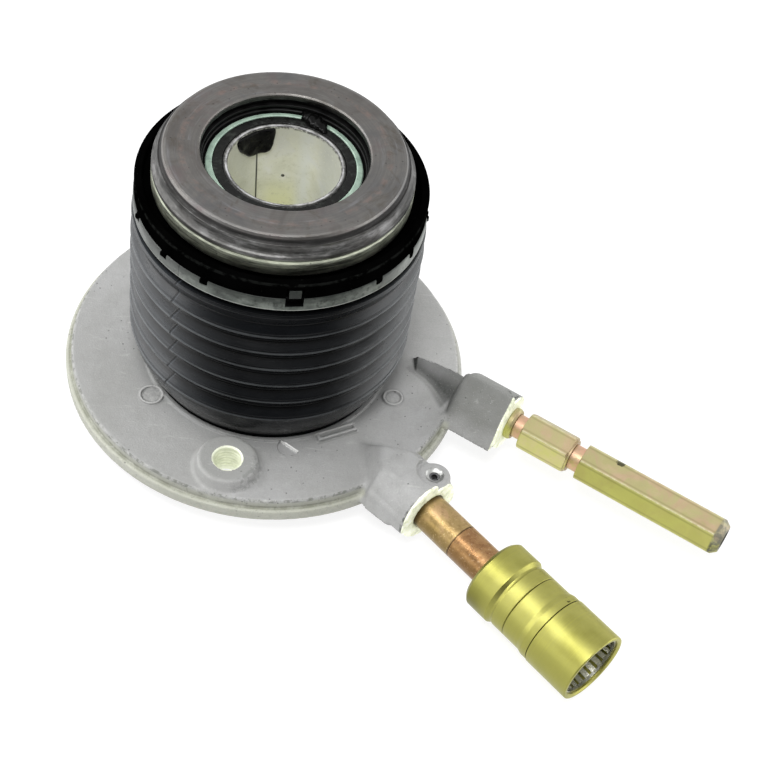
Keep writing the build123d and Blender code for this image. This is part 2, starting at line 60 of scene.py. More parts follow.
# ------------------------------------------------------------------ material helper
class Mat:
    """A node material whose texture space is the row frame in millimetres."""

    def __init__(self, name, **settings):
        self.m = bpy.data.materials.new(name)
        self.m.use_nodes = True
        self.t = self.m.node_tree
        self.t.nodes.clear()
        self.out = self.t.nodes.new("ShaderNodeOutputMaterial")
        self.b = self.t.nodes.new("ShaderNodeBsdfPrincipled")
        self.t.links.new(self.b.outputs[0], self.out.inputs["Surface"])
        for k, v in settings.items():
            self.b.inputs[k.replace("_", " ")].default_value = v
        tc = self.t.nodes.new("ShaderNodeTexCoord")
        mp = self.t.nodes.new("ShaderNodeMapping")
        mp.inputs["Scale"].default_value = (1000, 1000, 1000)
        self.link(tc.outputs["Object"], mp.inputs["Vector"])
        self.mm = mp.outputs["Vector"]
        sep = self.t.nodes.new("ShaderNodeSeparateXYZ")
        self.link(self.mm, sep.inputs[0])
        self.x, self.y, self.z = sep.outputs[0], sep.outputs[1], sep.outputs[2]
        self.last_bump = None

    def link(self, a, b):
        self.t.links.new(a, b)

    def put(self, socket, v):
        if hasattr(v, "is_output"):
            self.link(v, socket)
        else:
            socket.default_value = v

    def math(self, op, a, b=0.0, c=None, clamp=False):
        n = self.t.nodes.new("ShaderNodeMath")
        n.operation = op
        n.use_clamp = clamp
        self.put(n.inputs[0], a)
        self.put(n.inputs[1], b)
        if c is not None:
            self.put(n.inputs[2], c)
        return n.outputs[0]

    def noise(self, scale, detail=4.0, rough=0.5, stretch=None, w=None, dim="3D", vec=None, distortion=0.0):
        """Noise whose scale is in cycles per millimetre."""
        n = self.t.nodes.new("ShaderNodeTexNoise")
        n.noise_dimensions = dim
        n.inputs["Scale"].default_value = scale
        n.inputs["Detail"].default_value = detail
        n.inputs["Roughness"].default_value = rough
        n.inputs["Distortion"].default_value = distortion
        if dim != "1D":
            v = vec or self.mm
            if stretch:
                mp = self.t.nodes.new("ShaderNodeMapping")
                mp.inputs["Scale"].default_value = stretch
                self.link(v, mp.inputs["Vector"])
                v = mp.outputs["Vector"]
            self.link(v, n.inputs["Vector"])
        if w is not None:
            self.put(n.inputs["W"], w)
        return n.outputs[0]

    def cells(self, scale, randomness=1.0, vec=None, feature="F1", out="Distance"):
        n = self.t.nodes.new("ShaderNodeTexVoronoi")
        n.feature = feature
        n.inputs["Scale"].default_value = scale
        n.inputs["Randomness"].default_value = randomness
        self.link(vec or self.mm, n.inputs["Vector"])
        return n.outputs[out]

    def ramp(self, fac, stops, mode="LINEAR"):
        n = self.t.nodes.new("ShaderNodeValToRGB")
        r = n.color_ramp
        r.interpolation = mode
        while len(r.elements) < len(stops):
            r.elements.new(0.5)
        for e, (p, c) in zip(r.elements, stops):
            e.position = p
            e.color = c if len(c) == 4 else (*c, 1.0)
        self.link(fac, n.inputs[0])
        return n.outputs[0]

    def step(self, v, lo, hi, a=0.0, b=1.0):
        """a below lo, b above hi, smooth between."""
        n = self.t.nodes.new("ShaderNodeMapRange")
        n.interpolation_type = "SMOOTHSTEP"
        self.put(n.inputs["Value"], v)
        n.inputs["From Min"].default_value = lo
        n.inputs["From Max"].default_value = hi
        n.inputs["To Min"].default_value = a
        n.inputs["To Max"].default_value = b
        return n.outputs[0]

    def band(self, v, lo, hi, soft):
        a = self.step(v, lo - soft, lo + soft)
        b = self.step(v, hi - soft, hi + soft, 1.0, 0.0)
        return self.math("MULTIPLY", a, b)

    def mix(self, fac, a, b, mode="MIX"):
        n = self.t.nodes.new("ShaderNodeMix")
        n.data_type = "RGBA"
        n.blend_type = mode
        self.put(n.inputs[0], fac)
        for sock, v in ((n.inputs[6], a), (n.inputs[7], b)):
            if hasattr(v, "is_output"):
                self.link(v, sock)
            else:
                sock.default_value = v if len(v) == 4 else (*v, 1.0)
        return n.outputs[2]

    def rad(self, cx=0.0, cy=0.0):
        dx = self.math("SUBTRACT", self.x, cx)
        dy = self.math("SUBTRACT", self.y, cy)
        return self.math("SQRT", self.math("ADD", self.math("MULTIPLY", dx, dx), self.math("MULTIPLY", dy, dy)))

    def azimuth(self):
        return self.math("ARCTAN2", self.y, self.x)

    def along(self, a, off):
        """(s, side, up) along a port."""
        d = (math.cos(a), math.sin(a))
        n = (math.sin(a), -math.cos(a))
        s = self.math("ADD", self.math("MULTIPLY", self.x, d[0]), self.math("MULTIPLY", self.y, d[1]))
        side = self.math("SUBTRACT", self.math("ADD", self.math("MULTIPLY", self.x, n[0]), self.math("MULTIPLY", self.y, n[1])), off)
        up = self.math("SUBTRACT", self.z, PORT_Z)
        return s, side, up

    def combine(self, x, y, z):
        n = self.t.nodes.new("ShaderNodeCombineXYZ")
        for sock, v in zip(n.inputs, (x, y, z)):
            self.put(sock, v)
        return n.outputs[0]

    def rest(self):
        """Texture space taken from the piece's stored rest position, so that it stays put when the piece folds."""
        a = self.t.nodes.new("ShaderNodeAttribute")
        a.attribute_name = "rest"
        self.mm = a.outputs["Vector"]
        sep = self.t.nodes.new("ShaderNodeSeparateXYZ")
        self.link(self.mm, sep.inputs[0])
        self.x, self.y, self.z = sep.outputs[0], sep.outputs[1], sep.outputs[2]

    def curve(self, fac, lo, hi, points, out_lo, out_hi):
        """Piecewise linear table: points are (value of fac, result), through a ramp."""
        t = self.step_linear(fac, lo, hi)
        stops = [((p - lo) / (hi - lo), ((r - out_lo) / (out_hi - out_lo),) * 3) for p, r in points]
        v = self.ramp(t, stops)
        return self.math("MULTIPLY_ADD", v, out_hi - out_lo, out_lo)

    def step_linear(self, v, lo, hi):
        n = self.t.nodes.new("ShaderNodeMapRange")
        self.put(n.inputs["Value"], v)
        n.inputs["From Min"].default_value = lo
        n.inputs["From Max"].default_value = hi
        return n.outputs[0]

    def facing(self, axis):
        """Component of the surface normal along an object axis vector."""
        tc = self.t.nodes.new("ShaderNodeTexCoord")
        d = self.t.nodes.new("ShaderNodeVectorMath")
        d.operation = "DOT_PRODUCT"
        self.link(tc.outputs["Normal"], d.inputs[0])
        d.inputs[1].default_value = axis
        return d.outputs["Value"]

    def bump(self, height, depth_mm, strength=1.0):
        n = self.t.nodes.new("ShaderNodeBump")
        n.inputs["Strength"].default_value = strength
        n.inputs["Distance"].default_value = depth_mm * MM
        self.link(height, n.inputs["Height"])
        if self.last_bump is not None:
            self.link(self.last_bump, n.inputs["Normal"])
        self.last_bump = n.outputs[0]
        self.link(self.last_bump, self.b.inputs["Normal"])

    def bevel(self, radius_mm, samples=6):
        n = self.t.nodes.new("ShaderNodeBevel")
        n.samples = samples
        n.inputs["Radius"].default_value = radius_mm * MM
        self.last_bump = n.outputs[0]
        self.link(self.last_bump, self.b.inputs["Normal"])

    def set(self, socket, v):
        self.put(self.b.inputs[socket], v if hasattr(v, "is_output") or not isinstance(v, tuple) or len(v) == 4 else (*v, 1.0))
        return self


def dress(node_names, material):
    for n in node_names:
        o = nodes[n]
        o.data.materials.clear()
        o.data.materials.append(material.m)


def rgb(r, g, b):
    """Linear colour from 0-255 display values."""
    def f(c):
        c = c / 255
        return c / 12.92 if c <= 0.04045 else ((c + 0.055) / 1.055) ** 2.4
    return (f(r), f(g), f(b), 1.0)


# ------------------------------------------------------------------ mesh helpers
def mesh_from(name, verts_mm, quads, material, body, smooth=True):
    me = bpy.data.meshes.new(name)
    v = np.asarray(verts_mm, dtype=np.float64) * MM
    me.from_pydata(v.tolist(), [], [tuple(int(i) for i in q) for q in quads])
    me.update()
    if smooth:
        me.polygons.foreach_set("use_smooth", np.ones(len(me.polygons), dtype=bool))
    o = bpy.data.objects.new(name, me)
    bpy.context.scene.collection.objects.link(o)
    me.materials.append(material.m)
    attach(o, body)
    return o


def big_mesh(name, verts_mm, quads, normals, material, body):
    me = bpy.data.meshes.new(name)
    v = np.asarray(verts_mm, dtype=np.float32) * MM
    q = np.asarray(quads, dtype=np.int32)
    me.vertices.add(len(v))
    me.vertices.foreach_set("co", v.ravel())
    me.loops.add(q.size)
    me.loops.foreach_set("vertex_index", q.ravel())
    me.polygons.add(len(q))
    me.polygons.foreach_set("loop_start", np.arange(0, q.size, 4, dtype=np.int32))
    me.polygons.foreach_set("use_smooth", np.ones(len(q), dtype=bool))
    me.update(calc_edges=True)
    me.normals_split_custom_set_from_vertices(np.asarray(normals, dtype=np.float32).tolist())
    o = bpy.data.objects.new(name, me)
    bpy.context.scene.collection.objects.link(o)
    me.materials.append(material.m)
    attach(o, body)
    return o


def lathe_grid(profile, az, radial=None):
    """Closed surface of revolution through profile (r, z) points; radial(r, z, az) may change the radius."""
    p = np.array(profile, dtype=float)
    az = np.array(az, dtype=float)
    r = np.repeat(p[:, 0][:, None], len(az), 1)
    z = np.repeat(p[:, 1][:, None], len(az), 1)
    a = np.repeat(az[None, :], len(p), 0)
    if radial is not None:
        r = radial(r, z, a)
    v = np.stack([r * np.cos(a), r * np.sin(a), z], -1).reshape(-1, 3)
    m, n = len(p), len(az)
    i = np.arange(m)[:, None]
    j = np.arange(n)[None, :]
    i2 = (i + 1) % m
    j2 = (j + 1) % n
    q = np.stack([i * n + j + 0 * i2, i2 * n + j, i2 * n + j2, i * n + j2], -1).reshape(-1, 4)
    return v, q[:, ::-1]


# ------------------------------------------------------------------ casting as a smooth implicit solid
def smin(a, b, k):
    h = np.clip(0.5 + 0.5 * (b - a) / k, 0, 1)
    return b + (a - b) * h - k * h * (1 - h)


def smax(a, b, k):
    return -smin(-a, -b, k)


def box2(u, v, ru, v0, v1, rad):
    """Rounded slab: |u| up to ru, v between v0 and v1."""
    du = u - ru + rad
    dv = np.abs(v - (v0 + v1) / 2) - (v1 - v0) / 2 + rad
    return np.minimum(np.maximum(du, dv), 0) + np.sqrt(np.maximum(du, 0) ** 2 + np.maximum(dv, 0) ** 2) - rad


def cast_field(X, Y, Z):
    R = np.sqrt(X * X + Y * Y)
    plate = box2(R, Z, 59.8, -2.0, 7.0, 0.9)
    lip = box2(R, Z, 61.5, 0.0, 4.0, 0.7)
    f = smin(smax(plate, -Z, 0.3), lip, 0.5)
    f = smin(f, box2(R, Z, 37.0, -8.0, 3.0, 0.8), 0.6)
    # cylinder wall
    wall = (R - (28.5 - 0.022 * (Z - 7.0)))
    f = smin(f, smax(wall, 5.0 - Z, 0.3), 2.5)
    # ring round the foot of the boot
    f = smin(f, box2(np.abs(R - 37.2), Z, 0.75, 5.0, 7.55, 0.3), 0.35)
    # mounting bosses
    for bx, by in ((49.0 * math.cos(math.radians(-99.8)), 49.0 * math.sin(math.radians(-99.8))), (49.0 * math.cos(math.radians(80.2)), 49.0 * math.sin(math.radians(80.2)))):
        rb = np.sqrt((X - bx) ** 2 + (Y - by) ** 2)
        cone = (rb - (9.75 - 0.28 * (Z - 7.0))) * 0.957
        boss = smax(smax(cone, Z - 11.0, 1.1), 3.0 - Z, 0.3)
        f = smin(f, boss, 1.3)
    # inlet boss
    d, n = (math.cos(IN_A), math.sin(IN_A)), (math.sin(IN_A), -math.cos(IN_A))
    S = X * d[0] + Y * d[1]
    Q = X * n[0] + Y * n[1] - IN_OFF
    U = Z - PORT_Z
    cyl = np.sqrt(Q * Q + U * U) - 10.1
    skirt = smax(smax(np.abs(Q) - (10.2 - 0.08 * U + 0.07 * (76.5 - S)), U - 2.5, 1.5), -(U + 2.9), 0.25)
    body = smin(cyl, skirt, 0.8)
    body = smax(body, S - 76.5, 0.25)
    body = smax(body, 60.2 - S, 2.8)
    # fairing towards the flange: planes leaning in from the foot outline to the crown
    cx, cq = 63.4, 0.4
    foot = [(45.2, 0.2), (52.6, 5.2), (59.0, 10.3), (63.0, 11.3), (71.0, 10.2), (72.0, 0.0), (66.6, -9.0), (57.0, -7.6), (49.0, -3.4)]
    fair = None
    nfoot = len(foot)
    for i in range(nfoot):
        p, q = foot[i], foot[(i + 1) % nfoot]
        ex, ey = q[0] - p[0], q[1] - p[1]
        ln = math.hypot(ex, ey)
        nx, ny = ey / ln, -ex / ln
        if (p[0] - cx) * nx + (p[1] - cq) * ny < 0:
            nx, ny = -nx, -ny
        top_dist = 5.6
        base_dist = (p[0] - cx) * nx + (p[1] - cq) * ny
        slope = (base_dist - top_dist) / 9.3
        dist = (S - cx) * nx + (Q - cq) * ny - (base_dist - slope * (U - 0.0))
        dist = dist / math.sqrt(1 + slope * slope)
        fair = dist if fair is None else smax(fair, dist, 0.9)
    fair = smax(smax(fair, U - 9.6, 1.2), -(U + 2.9), 0.25)
    body = smin(body, fair, 0.9)
    # round pad and pin lobe
    pr = np.sqrt((S - 65.0) ** 2 + Q * Q)
    body = smin(body, smax(pr - 5.0, np.abs(U - 8.0) - 1.55, 0.5), 0.4)
    px, py = 51.8, -49.5
    lr = np.sqrt((X - px) ** 2 + (Y - py) ** 2)
    body = smax(body, -smax(lr - 5.6, 13.35 - Z, 0.5), 0.6)
    lobe = smax(smax(lr - 4.75, Z - 13.4, 0.9), 0.6 - Z, 0.3)
    body = smin(body, lobe, 0.8)
    f = smin(f, body, 2.0)
    # bleed boss with its flared side and the gusset ramp
    d, n = (math.cos(BL_A), math.sin(BL_A)), (math.sin(BL_A), -math.cos(BL_A))
    S = X * d[0] + Y * d[1]
    Q = X * n[0] + Y * n[1] - BL_OFF
    cyl = np.sqrt((Q - 0.4) ** 2 + (U + 0.2) ** 2) - 9.0
    cyl = smax(cyl, 57.4 - S, 4.0)
    flare = smax(smax(Q * 0.745 + U * 0.667 - 9.38, -(U + 1.3), 0.3), 1.0 - Q, 1.0)
    flare = smax(smax(flare, Q - 13.55, 0.3), 58.0 - S, 2.0)
    body = smin(cyl, flare, 0.8)
    body = smax(body, S - 75.8, 0.25)
    f = smin(f, body, 1.2)
    # rib: a ridge from a blunt end beside the boot to the boss, hollow on its near side
    ru = (X - 45.6) * 0.78 - (Y + 1.2) * 0.626
    rn = -(X - 45.6) * 0.626 - (Y + 1.2) * 0.78
    knots = [-2.0, 0.0, 7.0, 11.0, 15.2, 22.7]
    off = rn - np.interp(ru, knots, [0.2, 0.0, -1.45, -1.6, -1.46, -1.07])
    h = np.interp(ru, knots, [10.6, 10.8, 12.0, 12.9, 14.2, 15.0])
    w = np.interp(ru, knots, [2.6, 2.8, 4.5, 5.7, 7.3, 9.6])
    near = np.clip(off / w, 0, 2)
    drop = np.where(off > 0, (h - 7.0) * (1.0 - (1.0 - np.clip(near, 0, 1)) ** 1.7) + np.clip(near - 1, 0, 1) * 9.0, -off * 2.0)
    rib = (Z - (h - drop)) * np.where(off > 0, 0.68, 0.45)
    rib = smax(rib, ru - 23.0, 0.5)
    rib = smax(rib, -0.97 * (X - 46.2) - 0.1 * (Y + 2.5) + 0.16 * (Z - 8.6), 0.35)
    rib = smax(rib, 4.5 - Z, 0.4)
    f = smin(f, rib, 0.7)
    # cast marks
    for mx, my, r0 in ((-33.1, -24.1, 3.35), (39.6, -16.2, 2.85)):
        mr = np.sqrt((X - mx) ** 2 + (Y - my) ** 2)
        f = smin(f, smax(smax(np.abs(mr - r0) - 0.34, Z - 7.5, 0.2), 5.0 - Z, 0.2), 0.3)
    bl = math.atan2(6.0, 11.8)
    bu = (X - 22.9) * math.cos(bl) + (Y + 32.2) * math.sin(bl)
    bv = -(X - 22.9) * math.sin(bl) + (Y + 32.2) * math.cos(bl)
    bar = smax(smax(np.abs(bu) - 6.4, np.abs(bv) - 1.5, 0.6), Z - 8.3, 0.5)
    groove = smax(smax(np.abs(bu) - 5.4, np.abs(bv) - 0.5, 0.3), 7.8 - Z, 0.2)
    bar = smax(bar, -groove, 0.3)
    f = smin(f, smax(bar, 5.0 - Z, 0.2), 0.4)
    # half-round pocket
    mr = np.sqrt((X - 9.1) ** 2 + (Y + 38.8) ** 2)
    ca, sa = math.cos(math.radians(-35.2)), math.sin(math.radians(-35.2))
    hv = -(X - 9.05) * sa + (Y + 38.32) * ca
    f = smax(f, -smax(smax(mr - 3.3, hv, 0.1), 5.9 - Z, 0.15), 0.12)
    # cut everything of the bosses that would reach below the mounting face inside the rim
    f = smax(f, -smax(smax(R - 62.1, 37.0 - R, 0.05), Z, 0.05), 0.15)
    # bores
    f = smax(f, -smax(R - 24.0, 7.5 - Z, 0.3), 0.3)
    f = smax(f, -(R - 17.25), 0.2)
    f = smax(f, -smax(R - 20.1, Z + 6.4, 0.2), 0.2)
    for bx, by in ((49.0 * math.cos(math.radians(-99.8)), 49.0 * math.sin(math.radians(-99.8))), (49.0 * math.cos(math.radians(80.2)), 49.0 * math.sin(math.radians(80.2)))):
        rb = np.sqrt((X - bx) ** 2 + (Y - by) ** 2)
        f = smax(f, -(rb - 4.45), 0.2)
    S = X * math.cos(IN_A) + Y * math.sin(IN_A)
    Q = X * math.sin(IN_A) - Y * math.cos(IN_A) - IN_OFF
    pr = np.sqrt(Q * Q + U * U)
    f = smax(f, -smax(pr - 5.75, 61.0 - S, 0.3), 0.3)
    f = smax(f, -smax(lr - 2.75, 10.0 - Z, 0.3), 0.3)
    S = X * math.cos(BL_A) + Y * math.sin(BL_A)
    Q = X * math.sin(BL_A) - Y * math.cos(BL_A) - BL_OFF
    pr = np.sqrt(Q * Q + U * U)
    f = smax(f, -smax(pr - 4.2, 63.0 - S, 0.3), 0.3)
    return f


def surface_nets(field, lo, hi, h, inset=0.0):
    nx, ny, nz = (int(round((b - a) / h)) + 1 for a, b in zip(lo, hi))
    xs = (lo[0] + h * np.arange(nx)).astype(np.float32)
    ys = (lo[1] + h * np.arange(ny)).astype(np.float32)
    zs = (lo[2] + h * np.arange(nz)).astype(np.float32)
    F = np.empty((nx, ny, nz), dtype=np.float32)
    Yg, Zg = np.meshgrid(ys, zs, indexing="ij")
    chunk = 24
    for i in range(0, nx, chunk):
        Xg = xs[i:i + chunk][:, None, None] + 0 * Yg[None]
        F[i:i + chunk] = field(Xg, Yg[None] + 0 * Xg, Zg[None] + 0 * Xg) + inset
    neg = F < 0
    c = [neg[a:nx - 1 + a, b:ny - 1 + b, d:nz - 1 + d] for a in (0, 1) for b in (0, 1) for d in (0, 1)]
    s = sum(v.astype(np.int8) for v in c)
    mixed = (s > 0) & (s < 8)
    ci, cj, ck = np.nonzero(mixed)
    ident = np.full(mixed.shape, -1, dtype=np.int32)
    ident[ci, cj, ck] = np.arange(len(ci))
    acc = np.zeros((len(ci), 3), dtype=np.float32)
    cnt = np.zeros(len(ci), dtype=np.float32)
    corners = [(a, b, d) for a in (0, 1) for b in (0, 1) for d in (0, 1)]
    for a in corners:
        for axis in range(3):
            if a[axis]:
                continue
            b = list(a)
            b[axis] = 1
            fa = F[ci + a[0], cj + a[1], ck + a[2]]
            fb = F[ci + b[0], cj + b[1], ck + b[2]]
            cross = (fa < 0) != (fb < 0)
            t = np.where(cross, fa / np.where(cross, fa - fb, 1), 0)
            pos = np.stack([np.full(len(ci), float(a[0])), np.full(len(ci), float(a[1])), np.full(len(ci), float(a[2]))], 1)
            pos[:, axis] += t
            acc += pos * cross[:, None]
            cnt += cross
    v = acc / np.maximum(cnt, 1)[:, None]
    v = (np.stack([ci, cj, ck], 1) + v) * h + np.array(lo)[None]
    quads = []
    # x edges
    e = neg[:-1, 1:-1, 1:-1] != neg[1:, 1:-1, 1:-1]
    i, j, k = np.nonzero(e)
    j, k = j + 1, k + 1
    q = np.stack([ident[i, j - 1, k - 1], ident[i, j, k - 1], ident[i, j, k], ident[i, j - 1, k]], 1)
    flip = ~neg[i, j, k]
    q[flip] = q[flip][:, ::-1]
    quads.append(q)
    e = neg[1:-1, :-1, 1:-1] != neg[1:-1, 1:, 1:-1]
    i, j, k = np.nonzero(e)
    i, k = i + 1, k + 1
    q = np.stack([ident[i - 1, j, k - 1], ident[i - 1, j, k], ident[i, j, k], ident[i, j, k - 1]], 1)
    flip = ~neg[i, j, k]
    q[flip] = q[flip][:, ::-1]
    quads.append(q)
    e = neg[1:-1, 1:-1, :-1] != neg[1:-1, 1:-1, 1:]
    i, j, k = np.nonzero(e)
    i, j = i + 1, j + 1
    q = np.stack([ident[i - 1, j - 1, k], ident[i, j - 1, k], ident[i, j, k], ident[i - 1, j, k]], 1)
    flip = ~neg[i, j, k]
    q[flip] = q[flip][:, ::-1]
    quads.append(q)
    q = np.concatenate(quads)
    q = q[(q >= 0).all(1)]
    # relax the net, then pull it back on to the surface, so that rounded edges come out even
    e0 = np.concatenate([q[:, 0], q[:, 1], q[:, 2], q[:, 3]])
    e1 = np.concatenate([q[:, 1], q[:, 2], q[:, 3], q[:, 0]])
    deg = np.bincount(e0, minlength=len(v)) + np.bincount(e1, minlength=len(v))

    def value(p):
        p = p.astype(np.float32)
        return field(p[:, 0], p[:, 1], p[:, 2]) + inset

    def slope(p):
        d = 0.08
        gr = np.empty_like(p)
        for ax in range(3):
            up_, dn_ = p.copy(), p.copy()
            up_[:, ax] += d
            dn_[:, ax] -= d
            gr[:, ax] = (value(up_) - value(dn_)) / (2 * d)
        return gr

    edge = (v[:, 2] < lo[2] + 1.2 * h) | (v[:, 2] > hi[2] - 1.2 * h)
    for step in range(3):
        new = np.zeros_like(v)
        for ax in range(3):
            new[:, ax] = np.bincount(e0, weights=v[e1, ax], minlength=len(v)) + np.bincount(e1, weights=v[e0, ax], minlength=len(v))
        new /= np.maximum(deg, 1)[:, None]
        move = 0.6 * (new - v)
        move[edge] = 0
        v = v + move
        gr = slope(v)
        val = value(v)
        stepv = val[:, None] * gr / np.maximum((gr ** 2).sum(1), 0.2)[:, None]
        ln = np.sqrt((stepv ** 2).sum(1))
        v = v - stepv * np.minimum(1, 0.5 * h / np.maximum(ln, 1e-9))[:, None]
    gr = slope(v)
    nrm = gr / np.maximum(np.sqrt((gr ** 2).sum(1)), 1e-9)[:, None]
    return v, q, nrm


# ------------------------------------------------------------------ materials
def cast_material(name="cast_aluminium", tint=None):
    m = Mat(name, Metallic=0.15, Roughness=0.55)
    m.b.inputs["Specular IOR Level"].default_value = 0.4
    big = m.noise(0.03, 5, 0.6)
    mid = m.noise(0.22, 5, 0.65)
    fine = m.noise(2.0, 4, 0.65)
    grain = m.noise(5.0, 3, 0.6)
    col = m.ramp(big, [(0.3, rgb(152, 152, 150)), (0.5, rgb(160, 160, 159)), (0.72, rgb(168, 168, 168))])
    col = m.mix(m.step(mid, 0.42, 0.66, 0.0, 0.3), col, rgb(142, 143, 140))
    r = m.rad()
    si, qi, ui = m.along(IN_A, IN_OFF)
    sb, qb, ub = m.along(BL_A, BL_OFF)
    # painted light: the lower side of the rim lip is painted lighter and greener, as if lit from below
    rim = m.math("MULTIPLY", m.band(r, 59.6, 61.9, 0.7), m.step(m.z, 6.9, 5.5))
    col = m.mix(m.math("MULTIPLY", rim, 0.5), col, rgb(188, 190, 168))
    step_line = m.math("MULTIPLY", m.band(r, 59.3, 60.6, 0.25), m.band(m.z, 3.7, 4.7, 0.3))
    col = m.mix(m.math("MULTIPLY", step_line, m.step(mid, 0.35, 0.6, 0.25, 0.75)), col, rgb(118, 120, 104))
    corner_line = m.math("MULTIPLY", m.band(r, 59.2, 59.9, 0.12), m.band(m.z, 6.2, 7.1, 0.2))
    col = m.mix(m.math("MULTIPLY", corner_line, m.step(m.noise(0.5, 5, 0.75), 0.46, 0.6, 0.0, 0.8)), col, rgb(92, 94, 86))
    col = m.mix(m.math("MULTIPLY", corner_line, m.step(m.noise(0.33, 5, 0.75), 0.5, 0.7, 0.0, 0.35)), col, rgb(206, 206, 200))
    # painted shade: the flange darkens towards the foot of the boot
    foot = m.math("MULTIPLY", m.step(m.math("ADD", r, m.math("MULTIPLY", mid, 8.0)), 50.0, 40.0), 0.3)
    col = m.mix(foot, col, rgb(112, 114, 114))
    # darker grey over the bleed boss and its ramp, growing with height
    s, side, up = m.along(BL_A, BL_OFF)
    near = m.math("MULTIPLY", m.step(m.math("ABSOLUTE", side), 20.0, 8.0), m.math("MULTIPLY", m.step(s, 44.0, 64.0), m.step(m.math("ADD", m.z, m.math("MULTIPLY", mid, 3.0)), 7.0, 12.0)))
    col = m.mix(m.math("MULTIPLY", near, 0.6), col, rgb(120, 122, 116))
    # shadowed hollow of the rib and its blunt end
    hollow = m.math("SUBTRACT", m.math("MULTIPLY", m.math("SUBTRACT", m.x, 45.6), -0.63), m.math("MULTIPLY", m.math("ADD", m.y, 1.2), 0.777))
    hol = m.math("MULTIPLY", m.band(hollow, 0.6, 9.0, 1.6), m.math("MULTIPLY", m.step(m.z, 7.3, 8.4), m.step(m.math("ADD", m.z, m.math("MULTIPLY", r, -0.12)), 8.6, 5.4)))
    hol = m.math("MULTIPLY", hol, m.math("MULTIPLY", m.step(sb, 62.5, 56.0), m.step(qb, -2.5, 0.0)))
    col = m.mix(m.math("MULTIPLY", hol, 0.75), col, rgb(70, 72, 69))
    tip = m.math("MULTIPLY", m.step(m.x, 46.9, 46.4), m.math("MULTIPLY", m.band(m.y, -5.5, 0.6, 0.4), m.band(m.x, 44.0, 47.5, 0.3)))
    tip = m.math("MULTIPLY", tip, m.step(m.z, 7.2, 7.8))
    col = m.mix(m.math("MULTIPLY", tip, 0.9), col, rgb(38, 40, 38))
    # painted shade down the near side of the rib towards its foot
    ru = m.math("SUBTRACT", m.math("MULTIPLY", m.math("SUBTRACT", m.x, 45.6), 0.78), m.math("MULTIPLY", m.math("ADD", m.y, 1.2), 0.626))
    rn = m.math("SUBTRACT", m.math("MULTIPLY", m.math("SUBTRACT", m.x, 45.6), -0.626), m.math("MULTIPLY", m.math("ADD", m.y, 1.2), 0.78))
    ridge = m.curve(ru, -2.0, 22.7, [(-2.0, 0.2), (0.0, 0.0), (7.0, -1.45), (11.0, -1.6), (15.2, -1.46), (22.7, -1.07)], -2.0, 1.0)
    foot_at = m.curve(ru, -2.0, 22.7, [(-2.0, 2.8), (0.0, 2.8), (7.0, 3.05), (11.0, 4.1), (15.2, 5.84), (22.7, 8.5)], 0.0, 10.0)
    across = m.math("DIVIDE", m.math("SUBTRACT", rn, ridge), m.math("SUBTRACT", foot_at, ridge))
    shade = m.math("MULTIPLY", m.step(across, 0.1, 0.95), m.step(across, 1.3, 1.02))
    shade = m.math("MULTIPLY", shade, m.math("MULTIPLY", m.band(ru, -0.3, 17.5, 0.6), m.step(m.z, 16.5, 14.5)))
    col = m.mix(m.math("MULTIPLY", shade, m.step(ru, 0.0, 12.0, 0.45, 0.78)), col, rgb(66, 68, 65))
    # raised bar: painted shade in its groove, a painted highlight on one long edge and painted shade along its other
    # foot; discs of the two pads
    ba = math.atan2(6.0, 11.8)
    bu = m.math("ADD", m.math("MULTIPLY", m.math("SUBTRACT", m.x, 22.9), math.cos(ba)), m.math("MULTIPLY", m.math("ADD", m.y, 32.2), math.sin(ba)))
    bv = m.math("SUBTRACT", m.math("MULTIPLY", m.math("ADD", m.y, 32.2), math.cos(ba)), m.math("MULTIPLY", m.math("SUBTRACT", m.x, 22.9), math.sin(ba)))
    on_bar = m.math("MULTIPLY", m.band(bu, -6.6, 6.6, 0.3), m.step(m.z, 7.0, 7.3))
    # painted shade in the groove of the bar
    groove = m.math("MULTIPLY", m.band(bv, -0.55, 0.55, 0.15), m.math("MULTIPLY", m.band(bu, -5.5, 5.5, 0.3), on_bar))
    col = m.mix(m.math("MULTIPLY", groove, 0.6), col, rgb(104, 105, 102))
    # painted highlight along one long edge of the bar
    painted_edge_highlight = m.math("MULTIPLY", m.band(bv, 0.75, 1.5, 0.2), on_bar)
    col = m.mix(m.math("MULTIPLY", painted_edge_highlight, 0.55), col, rgb(208, 208, 205))
    # painted shade along the foot of the bar's other side
    painted_bar_foot_shade = m.math("MULTIPLY", m.band(bv, -2.1, -1.45, 0.25), m.band(bu, -6.8, 6.4, 0.4))
    col = m.mix(m.math("MULTIPLY", painted_bar_foot_shade, m.step(m.z, 8.6, 8.4, 0.0, 0.5)), col, rgb(98, 99, 96))
    for mx, my, r0 in ((-33.1, -24.1, 3.35), (39.6, -16.2, 2.85)):
        mr = m.rad(mx, my)
        rough_disc = m.math("MULTIPLY", m.step(mr, r0 + 0.1, r0 - 0.3), m.step(m.noise(0.9, 4, 0.7), 0.42, 0.62))
        col = m.mix(m.math("MULTIPLY", rough_disc, 0.4), col, rgb(196, 196, 194))
        # painted shade either side of each ring and a painted highlight on its crest
        col = m.mix(m.math("MULTIPLY", m.band(mr, r0 - 0.95, r0 - 0.4, 0.15), 0.5), col, rgb(112, 113, 111))
        col = m.mix(m.math("MULTIPLY", m.band(mr, r0 + 0.3, r0 + 0.9, 0.2), 0.3), col, rgb(118, 119, 117))
        col = m.mix(m.math("MULTIPLY", m.band(mr, r0 - 0.25, r0 + 0.2, 0.12), 0.45), col, rgb(206, 206, 204))
